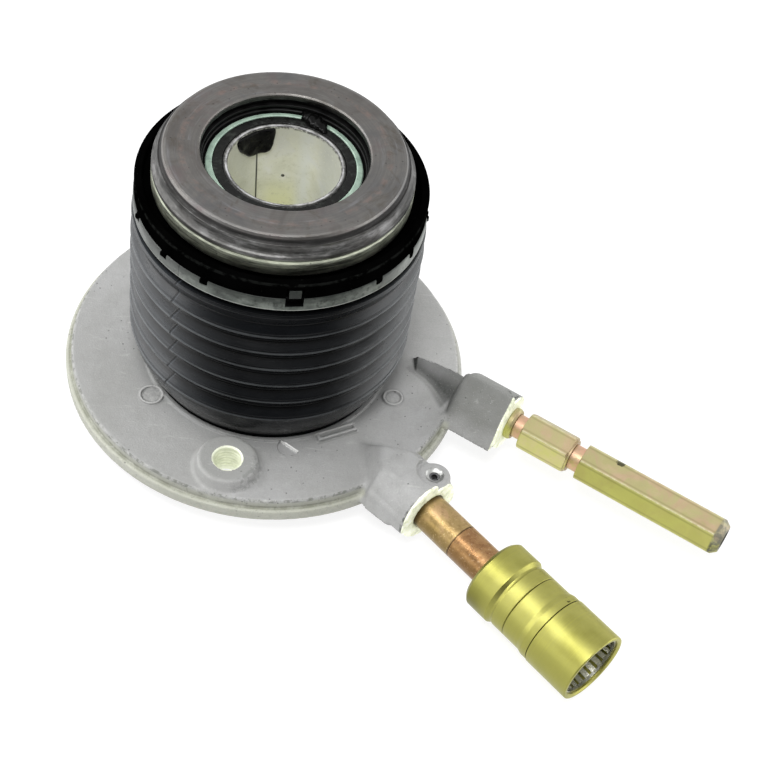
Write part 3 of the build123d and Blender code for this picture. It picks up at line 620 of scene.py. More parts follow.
    # painted light on the right of the flange top; the tops of the fixing bosses duller
    painted_light_right = m.math("MULTIPLY", m.step(m.x, 36.0, 52.0), m.step(m.z, 7.4, 7.2))
    col = m.mix(m.math("MULTIPLY", painted_light_right, m.step(m.y, -22.0, -8.0, 0.0, 0.55)), col, rgb(188, 188, 186))
    boss_r = m.rad(49.0 * math.cos(math.radians(-99.8)), 49.0 * math.sin(math.radians(-99.8)))
    col = m.mix(m.math("MULTIPLY", m.math("MULTIPLY", m.step(boss_r, 9.6, 9.2), m.step(m.z, 10.6, 10.9)), 0.5), col, rgb(140, 141, 138))
    dark_side = m.math("MULTIPLY", m.math("MULTIPLY", m.band(boss_r, 7.4, 10.2, 0.5), m.step(m.x, -8.0, -3.0)), m.step(m.noise(0.5, 4, 0.7), 0.45, 0.6))
    col = m.mix(m.math("MULTIPLY", dark_side, 0.4), col, rgb(92, 94, 90))
    pits = m.cells(0.42)
    pit_on = m.math("MULTIPLY", m.step(pits, 0.13, 0.07), m.step(m.noise(0.06, 2), 0.5, 0.6))
    col = m.mix(m.math("MULTIPLY", pit_on, 0.7), col, rgb(70, 72, 70))
    specks = m.step(m.cells(1.1), 0.22, 0.08)
    col = m.mix(m.math("MULTIPLY", specks, 0.22), col, rgb(206, 206, 204))
    dark = m.math("MULTIPLY", m.step(m.cells(0.75), 0.16, 0.06), 0.22)
    col = m.mix(dark, col, rgb(112, 112, 110))
    col = m.mix(m.step(fine, 0.35, 0.7, 0.0, 0.26), col, rgb(134, 135, 133))
    scr = m.noise(0.35, 5, 0.7, stretch=(0.25, 1.6, 1.0), distortion=0.8)
    col = m.mix(m.step(scr, 0.6, 0.72, 0.0, 0.4), col, rgb(196, 196, 194))
    scr2 = m.noise(0.5, 5, 0.75, stretch=(1.4, 0.3, 1.0), distortion=0.6)
    col = m.mix(m.step(scr2, 0.6, 0.7, 0.0, 0.3), col, rgb(132, 132, 130))
    chips = m.math("MULTIPLY", m.step(m.noise(0.7, 4, 0.7), 0.58, 0.66), m.math("MULTIPLY", m.step(r, 58.6, 59.6), m.step(r, 62.0, 61.0)))
    col = m.mix(m.math("MULTIPLY", chips, 0.55), col, rgb(120, 122, 112))
    pk = m.math("SUBTRACT", m.math("MULTIPLY", m.math("ADD", m.y, 38.32), math.cos(math.radians(-35.2))), m.math("MULTIPLY", m.math("SUBTRACT", m.x, 9.05), math.sin(math.radians(-35.2))))
    pr = m.rad(9.1, -38.8)
    # painted light on the straight far wall of the half-round pocket
    pocket_wall_painted_light = m.math("MULTIPLY", m.band(pk, -0.16, 0.30, 0.08), m.math("MULTIPLY", m.step(pr, 3.35, 3.2), m.step(m.z, 7.05, 6.95)))
    col = m.mix(pocket_wall_painted_light, col, rgb(250, 250, 248))
    floorp = m.math("MULTIPLY", m.step(pk, 0.0, -0.3), m.math("MULTIPLY", m.step(pr, 3.25, 3.0), m.step(m.z, 6.7, 6.3)))
    col = m.mix(m.math("MULTIPLY", floorp, 0.5), col, rgb(172, 172, 172))
    # machined end faces of the two bosses, dirt along their edge, and a painted glow on the faces
    spots = m.noise(0.7, 4, 0.7)
    ring_i = m.math("SQRT", m.math("ADD", m.math("MULTIPLY", qi, qi), m.math("MULTIPLY", ui, ui)))
    ring_b = m.math("SQRT", m.math("ADD", m.math("MULTIPLY", qb, qb), m.math("MULTIPLY", ub, ub)))
    dirt_i = m.math("MULTIPLY", m.band(si, 75.3, 76.35, 0.25), m.math("MULTIPLY", m.step(qi, 5.0, 7.5), m.step(ui, -3.4, -2.0)))
    dirt_i = m.math("MULTIPLY", m.math("MULTIPLY", dirt_i, m.step(ring_i, 16.0, 14.0)), m.step(spots, 0.42, 0.56))
    dirt_b = m.math("MULTIPLY", m.band(sb, 71.2, 75.7, 0.5), m.math("MULTIPLY", m.band(qb, -5.5, -0.8, 0.5), m.step(ub, 4.0, 6.0)))
    dirt_b = m.math("MULTIPLY", m.math("MULTIPLY", dirt_b, m.step(ring_b, 16.0, 14.0)), m.step(spots, 0.54, 0.6))
    col = m.mix(m.math("MULTIPLY", m.math("MAXIMUM", dirt_i, dirt_b), 0.8), col, rgb(48, 50, 44))
    bow_i = m.math("MULTIPLY", m.math("SUBTRACT", qi, 3.0), 0.125)
    bow_i = m.math("MAXIMUM", m.math("SUBTRACT", 1.0, m.math("MULTIPLY", bow_i, bow_i)), 0.0)
    bow_b = m.math("MULTIPLY", m.math("SUBTRACT", qb, 4.0), 0.115)
    bow_b = m.math("MAXIMUM", m.math("SUBTRACT", 1.0, m.math("MULTIPLY", bow_b, bow_b)), 0.0)
    si2 = m.math("ADD", si, m.math("MULTIPLY_ADD", bow_i, 0.7, m.math("MULTIPLY_ADD", spots, 0.5, -0.25)))
    sb2 = m.math("ADD", sb, m.math("MULTIPLY_ADD", bow_b, 0.6, m.math("MULTIPLY_ADD", spots, 0.5, -0.25)))
    end_i = m.math("MULTIPLY", m.step(si2, 76.2, 76.45), m.step(ring_i, 16.0, 14.0))
    end_b = m.math("MULTIPLY", m.step(sb2, 75.5, 75.75), m.step(ring_b, 17.0, 15.0))
    machined_ends_glow = m.math("MAXIMUM", end_i, end_b)
    cream = m.ramp(m.noise(0.35, 5, 0.7), [(0.32, rgb(186, 189, 164)), (0.5, rgb(226, 230, 206)), (0.66, rgb(250, 252, 238))])
    near_port = m.math("MAXIMUM", m.step(ring_i, 7.4, 6.3), m.step(ring_b, 6.0, 5.1))
    cream = m.mix(m.math("MULTIPLY", near_port, 0.5), cream, rgb(188, 190, 150))
    col = m.mix(machined_ends_glow, col, cream)
    # painted light: the paler machined end faces also glow through emission
    m.set("Emission Color", cream)
    m.set("Emission Strength", m.math("MULTIPLY", machined_ends_glow, 0.34))
    m.set("Base Color", tint or col)
    m.set("Roughness", m.step(mid, 0.3, 0.7, 0.46, 0.64))
    m.bump(grain, 0.06)
    m.bump(fine, 0.09)
    m.bump(mid, 0.22)
    m.bump(pit_on, -0.10)
    return m


def bright_cast():
    m = Mat("cast_machined", Metallic=0.1, Roughness=0.4)
    n = m.noise(0.7, 4)
    m.set("Base Color", m.ramp(n, [(0.3, rgb(222, 226, 204)), (0.7, rgb(244, 247, 228))]))
    m.set("Roughness", m.step(n, 0.3, 0.7, 0.32, 0.5))
    m.bump(m.noise(2.0, 3), 0.03)
    return m


SEAM = [(8.0, -133.6), (15.2, -131.6), (18.6, -134.1), (19.0, -134.1), (25.7, -130.5), (27.8, -132.5), (33.6, -129.7), (36.0, -131.7), (42.4, -128.6), (44.5, -130.9), (49.1, -128.6), (49.7, -131.1), (54.1, -128.8), (55.5, -131.0), (62.7, -128.3), (64.2, -129.3), (66.7, -128.0), (68.0, -128.0)]


def rubber_material():
    m = Mat("boot_rubber", Roughness=0.26)
    m.rest()
    m.b.inputs["Specular IOR Level"].default_value = 0.34
    r = m.rad()
    deg = m.math("MULTIPLY", m.azimuth(), 57.29578)
    mid = m.noise(0.07, 4, 0.6)
    fine = m.noise(3.0, 3, 0.6)
    # fine circumferential brushing left by the mould
    around = m.combine(m.math("MULTIPLY", deg, 0.035), m.math("MULTIPLY", m.z, 3.2), 0.0)
    brush = m.noise(1.0, 5, 0.7, vec=around)
    slow = m.noise(1.0, 3, 0.6, vec=m.combine(m.math("MULTIPLY", deg, 0.06), m.math("MULTIPLY", m.z, 0.25), 3.0))
    col = m.ramp(mid, [(0.3, (0.0045, 0.005, 0.006)), (0.7, (0.0095, 0.0108, 0.0125))])
    col = m.mix(m.step(brush, 0.55, 0.78, 0.0, 0.3), col, (0.026, 0.030, 0.035))
    # painted shade in the roots, painted highlight on the crests
    painted_root_shade = m.math("MULTIPLY", m.step(r, 40.7, 40.1), m.step(m.z, 66.0, 64.5))
    col = m.mix(m.math("MULTIPLY", painted_root_shade, 0.85), col, (0.0015, 0.0015, 0.0016))
    painted_crest_highlight = m.math("MULTIPLY", m.step(r, 41.92, 42.12), m.step(m.z, 63.0, 62.0))
    painted_crest_highlight = m.math("MULTIPLY", painted_crest_highlight, m.step(slow, 0.3, 0.6, 0.45, 1.0))
    col = m.mix(m.math("MULTIPLY", painted_crest_highlight, 0.85), col, (0.095, 0.102, 0.106))
    dust = m.step(m.noise(0.9, 5, 0.7), 0.6, 0.75, 0.0, 0.06)
    col = m.mix(dust, col, (0.075, 0.08, 0.085))
    # collar
    collar = m.math("MULTIPLY", m.step(m.z, 67.55, 67.75), m.step(r, 40.9, 41.1))
    cn = m.noise(0.16, 5, 0.65)
    ccol = m.ramp(cn, [(0.32, rgb(60, 64, 61)), (0.5, rgb(84, 89, 84)), (0.68, rgb(114, 119, 113))])
    ccol = m.mix(m.step(brush, 0.5, 0.7, 0.0, 0.4), ccol, rgb(88, 92, 88))
    ccol = m.mix(m.step(m.noise(0.5, 4, 0.7), 0.5, 0.66, 0.0, 0.7), ccol, rgb(40, 42, 40))
    col = m.mix(m.math("MULTIPLY", collar, m.step(m.z, 72.0, 71.6, 0.5, 1.0)), col, ccol)
    # painted highlight along the lower edge of the collar
    edge = m.math("MULTIPLY", m.band(m.z, 67.75, 68.15, 0.08), collar)
    col = m.mix(m.math("MULTIPLY", edge, 0.7), col, rgb(170, 174, 168))
    # painted shade in the undercut below the collar
    under = m.band(m.z, 64.9, 67.7, 0.25)
    col = m.mix(m.math("MULTIPLY", under, 0.5), col, (0.003, 0.0032, 0.0034))
    # pocket and notches in the collar stay black
    pocket = m.math("MULTIPLY", m.step(m.z, 67.9, 68.2), m.step(r, 41.1, 40.9))
    col = m.mix(pocket, col, (0.002, 0.002, 0.002))
    # parting line
    line = m.curve(m.z, 0.0, 72.0, SEAM, -140.0, -120.0)
    d = m.math("SUBTRACT", deg, line)
    seam = m.math("MULTIPLY", m.band(d, -0.5, 0.42, 0.10), m.step(m.z, 67.2, 66.6))
    col = m.mix(m.math("MULTIPLY", seam, 0.95), col, (0.0015, 0.0015, 0.0015))
    # painted sheen of the bellows: painted shade keeps the front black, a fine grey painted reflection grows towards
    # both sides
    left = m.step(m.math("ADD", deg, m.math("MULTIPLY", slow, 22.0)), -88.0, -128.0)
    right = m.step(m.math("ADD", deg, m.math("MULTIPLY", slow, 22.0)), -58.0, -14.0)
    back = m.step(deg, 20.0, 80.0)
    sheen = m.math("MAXIMUM", m.math("MAXIMUM", left, right), back)
    body_ = m.math("SUBTRACT", 1.0, collar)
    swell = m.step(r, 40.4, 41.9, 0.15, 1.0)
    # painted reflection on the outer swell of the folds, on the right and then on the left
    painted_sheen_right = m.math("MULTIPLY", m.math("MULTIPLY", right, body_), m.math("MULTIPLY", swell, m.step(brush, 0.35, 0.65, 0.45, 1.0)))
    col = m.mix(m.math("MULTIPLY", painted_sheen_right, 0.55), col, (0.085, 0.096, 0.1))
    painted_sheen_left = m.math("MULTIPLY", m.math("MULTIPLY", m.math("MAXIMUM", left, back), body_), m.math("MULTIPLY", swell, m.step(brush, 0.35, 0.65, 0.45, 1.0)))
    col = m.mix(m.math("MULTIPLY", painted_sheen_left, 0.32), col, (0.07, 0.081, 0.092))
    # painted shade over the front of the bellows, away from the sheen
    col = m.mix(m.math("MULTIPLY", m.math("MULTIPLY", m.math("SUBTRACT", 1.0, sheen), body_), 0.55), col, (0.0022, 0.0024, 0.0027))
    # painted light on the right side of the collar
    painted_collar_light_right = m.math("MULTIPLY", m.step(deg, -55.0, 10.0), collar)
    col = m.mix(m.math("MULTIPLY", painted_collar_light_right, 0.4), col, rgb(146, 152, 146))
    # painted shade over the top of the collar on its front and left, with an uneven lower edge
    painted_collar_top_shade = m.math("MULTIPLY", m.math("MULTIPLY", collar, m.step(m.math("ADD", m.z, m.math("MULTIPLY", m.noise(0.35, 5, 0.7), 3.0)), 71.0, 72.4)), m.step(deg, -30.0, -60.0))
    col = m.mix(m.math("MULTIPLY", painted_collar_top_shade, 0.62), col, rgb(34, 37, 34))
    # collar darker towards the left
    collar_left_darker = m.math("MULTIPLY", m.step(deg, -118.0, -150.0), collar)
    col = m.mix(m.math("MULTIPLY", collar_left_darker, 0.45), col, rgb(44, 47, 44))
    beside = m.math("MULTIPLY", m.band(d, 0.45, 1.1, 0.2), m.step(m.z, 67.2, 66.6))
    col = m.mix(m.math("MULTIPLY", beside, 0.45), col, (0.06, 0.068, 0.078))
    m.set("Base Color", col)
    m.set("Specular IOR Level", m.math("MULTIPLY_ADD", sheen, 0.40, 0.10))
    rough = m.step(slow, 0.3, 0.7, 0.2, 0.36)
    rough = m.math("ADD", rough, m.math("MULTIPLY", collar, 0.12))
    m.set("Roughness", rough)
    m.bump(brush, 0.035)
    m.bump(fine, 0.015)
    m.bump(m.step(d, -0.1, 0.1), 0.35)
    m.bump(seam, -0.3)
    return m


def black_plastic():
    m = Mat("carrier_plastic", Roughness=0.42)
    m.b.inputs["Specular IOR Level"].default_value = 0.0
    mid = m.noise(0.12, 4)
    col = m.ramp(mid, [(0.3, (0.0004, 0.0004, 0.0004)), (0.7, (0.0011, 0.0011, 0.0011))])
    r = m.rad()
    # painted highlight along the outer top edge
    painted_rim_highlight = m.math("MULTIPLY", m.band(r, 40.95, 41.4, 0.08), m.band(m.z, 76.6, 77.5, 0.12))
    wn = m.step(m.noise(0.35, 4, 0.7), 0.42, 0.6)
    col = m.mix(m.math("MULTIPLY", m.math("MULTIPLY", painted_rim_highlight, wn), 0.25), col, rgb(44, 46, 44))
    # flecks of dust on the plate and grey face of the locating block
    fleck = m.math("MULTIPLY", m.step(m.cells(0.8), 0.10, 0.04), m.step(m.noise(0.15, 2), 0.5, 0.6))
    col = m.mix(m.math("MULTIPLY", fleck, 0.5), col, rgb(60, 62, 60))
    deg = m.math("MULTIPLY", m.azimuth(), 57.29578)
    blk = m.math("MULTIPLY", m.band(deg, -83.6, -79.4, 0.1), m.math("MULTIPLY", m.band(m.z, 72.4, 75.2, 0.15), m.step(r, 40.9, 41.1)))
    col = m.mix(blk, col, rgb(84, 86, 82))
    m.set("Base Color", col)
    m.set("Roughness", m.step(mid, 0.3, 0.7, 0.36, 0.55))
    m.bump(m.noise(2.5, 3), 0.03)
    return m


def seal_material():
    m = Mat("seal_rubber", Roughness=0.34)
    m.b.inputs["Specular IOR Level"].default_value = 0.2
    mid = m.noise(0.3, 4)
    m.set("Base Color", m.ramp(mid, [(0.3, (0.002, 0.002, 0.002)), (0.7, (0.006, 0.006, 0.006))]))
    m.set("Roughness", m.step(mid, 0.3, 0.7, 0.28, 0.5))
    m.bump(m.noise(3.0, 3), 0.02)
    return m


def bearing_material():
    m = Mat("bearing_steel", Metallic=1.0, Roughness=0.4)
    m.bevel(0.22)
    r = m.rad()
    face = m.step(m.z, 87.3, 87.6)
    ring = m.noise(1.4, 3, 0.7, dim="1D", w=r)
    ring_fine = m.noise(7.0, 2, 0.6, dim="1D", w=r)
    turn = m.noise(1.0, 4, 0.65, vec=m.combine(m.math("MULTIPLY", m.x, 0.12), m.math("MULTIPLY", m.y, 0.12), m.math("MULTIPLY", m.z, 0.35)))
    blotch = m.noise(0.05, 5, 0.65, distortion=1.0)
    blotch2 = m.noise(0.13, 5, 0.65)
    smear = m.noise(0.35, 5, 0.7)
    col = m.ramp(blotch, [(0.3, rgb(104, 104, 105)), (0.5, rgb(122, 120, 117)), (0.7, rgb(102, 98, 95))])
    col = m.mix(m.step(ring, 0.35, 0.65, 0.0, 0.3), col, rgb(100, 99, 99))
    col = m.mix(m.step(blotch2, 0.5, 0.7, 0.0, 0.45), col, rgb(112, 100, 100))
    wear = m.math("MULTIPLY", m.band(r, 27.8, 29.6, 0.6), m.step(smear, 0.45, 0.65, 0.0, 0.42))
    col = m.mix(m.math("MULTIPLY", wear, face), col, rgb(150, 128, 120))
    # burnt-looking shoulder with pale scuffs
    low = m.step(m.z, 86.9, 86.3)
    lowc = m.ramp(turn, [(0.3, rgb(48, 48, 47)), (0.5, rgb(84, 84, 83)), (0.66, rgb(124, 124, 124))])
    lowc = m.mix(m.step(smear, 0.6, 0.7, 0.0, 0.16), lowc, rgb(170, 170, 166))
    col = m.mix(m.math("MULTIPLY", low, 0.85), col, lowc)
    # painted shade in the groove under the edge of the face
    groove = m.math("MULTIPLY", m.band(r, 33.75, 34.85, 0.15), m.band(m.z, 85.4, 86.9, 0.2))
    col = m.mix(m.math("MULTIPLY", groove, 0.8), col, rgb(34, 33, 33))
    # painted reflection makes the outer wall pale and greenish, darker towards its foot
    wall = m.math("MULTIPLY", m.step(m.z, 81.9, 81.3), m.step(r, 36.0, 36.3))
    wall_painted_reflection = m.ramp(turn, [(0.3, rgb(168, 172, 156)), (0.5, rgb(206, 211, 191)), (0.7, rgb(238, 243, 220))])
    wall_painted_reflection = m.mix(m.step(m.z, 78.4, 76.6, 0.0, 0.55), wall_painted_reflection, rgb(70, 72, 68))
    col = m.mix(m.math("MULTIPLY", wall, 0.9), col, wall_painted_reflection)
    lines = m.math("ADD", m.band(m.z, 78.6, 78.8, 0.06), m.band(m.z, 81.3, 81.6, 0.08))
    col = m.mix(m.math("MULTIPLY", m.math("MULTIPLY", lines, wall), 0.5), col, rgb(48, 48, 47))
    stain = m.noise(0.09, 5, 0.7, distortion=1.5)
    col = m.mix(m.math("MULTIPLY", m.step(stain, 0.52, 0.68, 0.0, 0.6), face), col, rgb(94, 88, 80))
    arc = m.noise(1.0, 4, 0.7, vec=m.combine(m.math("MULTIPLY", m.azimuth(), 0.9), m.math("MULTIPLY", r, 0.35), 0.0))
    col = m.mix(m.math("MULTIPLY", m.step(arc, 0.55, 0.72, 0.0, 0.55), face), col, rgb(150, 150, 154))
    # painted highlight along the outer edge of the face
    edge = m.band(r, 32.7, 33.3, 0.25)
    col = m.mix(m.math("MULTIPLY", m.math("MULTIPLY", edge, m.step(m.z, 87.2, 87.5)), m.step(arc, 0.4, 0.6, 0.05, 0.35)), col, rgb(150, 149, 146))
    # dark smoky bands of heat and grime below the face
    deg = m.math("MULTIPLY", m.azimuth(), 57.29578)
    smoke = m.noise(1.0, 5, 0.7, vec=m.combine(m.math("MULTIPLY", deg, 0.035), m.math("MULTIPLY", m.z, 0.5), 2.0))
    col = m.mix(m.math("MULTIPLY", m.step(smoke, 0.46, 0.62, 0.0, 0.7), m.step(m.z, 87.0, 86.2)), col, rgb(40, 40, 39))
    pale = m.noise(1.0, 5, 0.75, vec=m.combine(m.math("MULTIPLY", deg, 0.12), m.math("MULTIPLY", m.z, 1.6), 7.0))
    col = m.mix(m.math("MULTIPLY", m.step(pale, 0.6, 0.7, 0.0, 0.2), m.step(m.z, 86.8, 86.0)), col, rgb(150, 151, 148))
    spots = m.step(m.cells(0.35), 0.12, 0.05, 0.0, 0.6)
    col = m.mix(spots, col, rgb(70, 66, 66))
    m.set("Base Color", col)
    m.set("Roughness", m.step(blotch2, 0.3, 0.7, 0.36, 0.5))
    m.bump(m.math("MULTIPLY", ring, face), 0.02)
    m.bump(ring_fine, 0.006)
    m.bump(m.noise(0.5, 4), 0.03)
    return m


def dark_bearing():
    m = Mat("bearing_dark", Metallic=0.4, Roughness=0.42)
    m.b.inputs["Specular IOR Level"].default_value = 0.25
    n = m.noise(0.3, 4)
    m.set("Base Color", m.ramp(n, [(0.3, (0.004, 0.004, 0.004)), (0.7, (0.012, 0.012, 0.012))]))
    m.set("Roughness", m.step(n, 0.3, 0.7, 0.34, 0.52))
    m.bump(m.noise(2.0, 3), 0.02)
    return m


def simple_metal(name, lo, hi, rough=(0.25, 0.4), scale=0.4, metallic=1.0, grain=2.0, depth=0.02, bevel=0.0):
    m = Mat(name, Metallic=metallic, Roughness=rough[0])
    if bevel:
        m.bevel(bevel)
    n = m.noise(scale, 5, 0.6)
    g = m.noise(grain, 3, 0.6)
    col = m.ramp(n, [(0.3, lo), (0.7, hi)])
    m.set("Base Color", col)
    m.set("Roughness", m.step(g, 0.3, 0.7, rough[0], rough[1]))
    m.bump(g, depth)
    return m


def tube_material():
    m = Mat("guide_tube_steel", Metallic=0.12, Roughness=0.34)
    r = m.rad()
    az = m.azimuth()
    streak = m.noise(1.0, 4, 0.65, vec=m.combine(m.math("MULTIPLY", az, 2.2), m.math("MULTIPLY", m.z, 0.03), 0.0))
    turn = m.noise(3.0, 3, 0.6, dim="1D", w=m.z)
    blot = m.noise(0.10, 5, 0.6)
    deg = m.math("MULTIPLY", az, 57.29578)
    cloud = m.noise(0.16, 5, 0.62, distortion=0.5)
    col = m.ramp(cloud, [(0.3, rgb(232, 232, 210)), (0.5, rgb(246, 246, 228)), (0.7, rgb(252, 252, 242))])
    # yellower low in front of the hole, greyer to the right with a painted highlight band, darker to the left and
    # towards the rim
    col = m.mix(m.math("MULTIPLY", m.step(m.z, 66.0, 54.0), m.band(deg, 74.0, 112.0, 14.0)), col, rgb(252, 252, 206))
    col = m.mix(m.step(deg, 112.0, 140.0, 0.0, 0.5), col, rgb(196, 198, 186))
    # painted highlight: a pale vertical band on the wall
    pale = m.band(m.math("ADD", deg, m.math("MULTIPLY", cloud, 10.0)), 66.0, 80.0, 7.0)
    col = m.mix(m.math("MULTIPLY", pale, 0.5), col, rgb(246, 250, 250))
    col = m.mix(m.step(deg, 64.0, 40.0, 0.0, 0.6), col, rgb(186, 190, 190))
    col = m.mix(m.step(m.math("ADD", m.z, m.math("MULTIPLY", cloud, 10.0)), 74.0, 88.0, 0.0, 0.5), col, rgb(166, 167, 154))
    mott = m.noise(0.75, 5, 0.72)
    col = m.mix(m.step(mott, 0.52, 0.68, 0.0, 0.25), col, rgb(186, 186, 156))
    col = m.mix(m.step(m.noise(1.1, 5, 0.72), 0.56, 0.68, 0.0, 0.35), col, rgb(252, 252, 232))
    speck = m.step(m.cells(0.9), 0.12, 0.04, 0.0, 0.5)
    col = m.mix(speck, col, rgb(168, 166, 146))
    outer = m.step(r, 16.9, 17.1)
    col = m.mix(m.math("MULTIPLY", outer, m.step(m.z, 82.4, 82.1)), col, rgb(40, 41, 39))
    top = m.step(m.z, 82.0, 82.4)
    rimc = m.ramp(m.noise(1.0, 5, 0.7, vec=m.combine(m.math("MULTIPLY", az, 5.0), m.math("MULTIPLY", r, 2.2), 0.0)), [(0.35, rgb(70, 70, 68)), (0.55, rgb(112, 112, 110)), (0.7, rgb(170, 170, 168))])
    col = m.mix(m.math("MULTIPLY", top, 0.9), col, rimc)
    dirt = m.step(m.noise(0.38, 6, 0.75, distortion=0.6), 0.46, 0.54)
    fringe = m.math("MULTIPLY", m.band(r, 15.6, 16.05, 0.06), m.step(m.noise(0.9, 4, 0.7), 0.45, 0.55))
    fringe = m.math("MULTIPLY", fringe, m.step(m.z, 81.4, 82.0))
    col = m.mix(m.math("MULTIPLY", top, m.math("MULTIPLY", dirt, 0.85)), col, rgb(26, 26, 25))
    col = m.mix(m.math("MULTIPLY", fringe, 0.8), col, rgb(24, 24, 22))
    # painted highlight on the inner edge of the rim
    painted_rim_glint = m.math("MULTIPLY", m.band(r, 16.0, 16.5, 0.15), m.step(m.noise(1.0, 4, 0.7, vec=m.combine(m.math("MULTIPLY", az, 3.0), m.math("MULTIPLY", r, 0.8), 4.0)), 0.4, 0.6, 0.15, 1.0))
    col = m.mix(m.math("MULTIPLY", m.math("MULTIPLY", painted_rim_glint, top), 0.75), col, rgb(196, 196, 198))
    soot_ring = m.math("MULTIPLY", m.step(m.math("ADD", r, m.math("MULTIPLY", m.noise(0.6, 4, 0.7), 0.8)), 16.9, 17.3), top)
    col = m.mix(m.math("MULTIPLY", soot_ring, 0.9), col, rgb(14, 14, 14))
    line = m.band(m.math("ADD", deg, m.math("MULTIPLY", m.math("SUBTRACT", m.z, 60.0), -0.14)), 118.5, 120.2, 0.25)
    line = m.math("MULTIPLY", line, m.step(m.z, 74.5, 73.5))
    col = m.mix(m.math("MULTIPLY", line, 0.92), col, rgb(34, 32, 26))
    dx = m.math("MULTIPLY", m.math("SUBTRACT", deg, 91.0), 0.275)
    dz = m.math("SUBTRACT", m.z, 64.0)
    dist = m.math("SQRT", m.math("ADD", m.math("MULTIPLY", dx, dx), m.math("MULTIPLY", dz, dz)))
    dot = m.math("MULTIPLY", m.step(dist, 0.62, 0.42), m.step(r, 16.2, 16.0))
    col = m.mix(m.math("MULTIPLY", dot, 0.95), col, rgb(30, 28, 20))
    m.set("Base Color", col)
    m.set("Roughness", m.step(streak, 0.3, 0.7, 0.3, 0.44))
    m.bump(turn, 0.01)
    m.bump(streak, 0.02)
    m.bump(line, -0.1)
    return m


def gold_material():
    m = Mat("coupling_gold", Metallic=1.0, Roughness=0.32)
    m.bevel(0.12)
    s, side, up = m.along(IN_A, IN_OFF)
    turn = m.noise(2.2, 3, 0.7, dim="1D", w=s)
    turn_f = m.noise(11.0, 2, 0.5, dim="1D", w=s)
    blot = m.noise(0.07, 4, 0.6)
    col = m.ramp(blot, [(0.3, rgb(152, 149, 76)), (0.6, rgb(174, 171, 98)), (0.8, rgb(160, 155, 82))])
    col = m.mix(m.step(turn, 0.4, 0.7, 0.0, 0.25), col, rgb(184, 180, 84))
    scratch = m.noise(0.8, 5, 0.7, stretch=(1.0, 0.3, 1.0), distortion=0.5)
    col = m.mix(m.step(scratch, 0.64, 0.72, 0.0, 0.35), col, rgb(150, 144, 70))
    for c, w in ((118.15, 0.13), (127.9, 0.16)):
        col = m.mix(m.math("MULTIPLY", m.band(s, c - w, c + w, 0.05), 0.9), col, rgb(52, 48, 12))
    rr = m.math("SQRT", m.math("ADD", m.math("MULTIPLY", side, side), m.math("MULTIPLY", up, up)))
    # painted shade: darker olive on the rear shoulder and the lower left flank
    painted_rear_shade = m.math("MULTIPLY", m.step(s, 113.5, 106.0), m.step(up, 10.0, -2.0))
    col = m.mix(m.math("MULTIPLY", painted_rear_shade, 0.9), col, rgb(92, 90, 38))
    painted_flank_shade = m.math("MULTIPLY", m.step(side, 6.0, 10.5), m.step(blot, 0.3, 0.6, 0.4, 0.9))
    col = m.mix(m.math("MULTIPLY", painted_flank_shade, 0.6), col, rgb(126, 125, 58))
    # greener gold inside the mouth, darkened with painted shade
    inside = m.step(rr, 10.0, 9.6)
    col = m.mix(m.math("MULTIPLY", inside, 0.5), col, rgb(130, 122, 62))
    # small dark nick behind the second line, near the crown
    nick = m.math("MULTIPLY", m.band(s, 125.7, 127.4, 0.25), m.band(side, -4.4, -3.4, 0.25))
    nick = m.math("MULTIPLY", nick, m.step(up, 5.0, 7.0))
    nick = m.math("MULTIPLY", nick, m.step(m.noise(0.7, 2), 0.42, 0.5))
    col = m.mix(m.math("MULTIPLY", nick, 0.95), col, rgb(30, 26, 12))
    m.set("Base Color", col)
    m.set("Roughness", m.step(blot, 0.3, 0.7, 0.36, 0.48))
    m.bump(turn, 0.010)
    m.bump(turn_f, 0.004)
    m.bump(m.noise(0.4, 4), 0.02)
    return m


def bronze_material():
    m = Mat("tube_bronze", Metallic=0.9, Roughness=0.4)
    s, side, up = m.along(IN_A, IN_OFF)
    blot = m.noise(0.16, 5, 0.65, distortion=0.6)
    turn = m.noise(1.5, 3, 0.6, dim="1D", w=s)
    patch = m.noise(0.5, 5, 0.7)
    col = m.ramp(blot, [(0.28, rgb(150, 126, 80)), (0.5, rgb(178, 152, 104)), (0.62, rgb(190, 158, 118)), (0.8, rgb(166, 142, 88))])
    col = m.mix(m.step(patch, 0.5, 0.66, 0.0, 0.4), col, rgb(120, 94, 58))
    # painted shade on the near flank of the tube
    col = m.mix(m.step(side, 1.5, 5.4, 0.0, 0.7), col, rgb(110, 92, 50))
    col = m.mix(m.step(m.noise(1.3, 4, 0.7), 0.58, 0.68, 0.0, 0.5), col, rgb(214, 190, 148))
    edge = m.step(s, 78.4, 76.9)
    col = m.mix(m.math("MULTIPLY", edge, 0.8), col, rgb(58, 44, 20))
    edge = m.band(s, 90.0, 90.6, 0.1)
    col = m.mix(m.math("MULTIPLY", edge, 0.75), col, rgb(66, 46, 30))
    m.set("Base Color", col)
    m.set("Roughness", m.step(blot, 0.3, 0.7, 0.28, 0.44))
    m.bump(m.noise(1.2, 4), 0.04)
    m.bump(turn, 0.012)
    return m


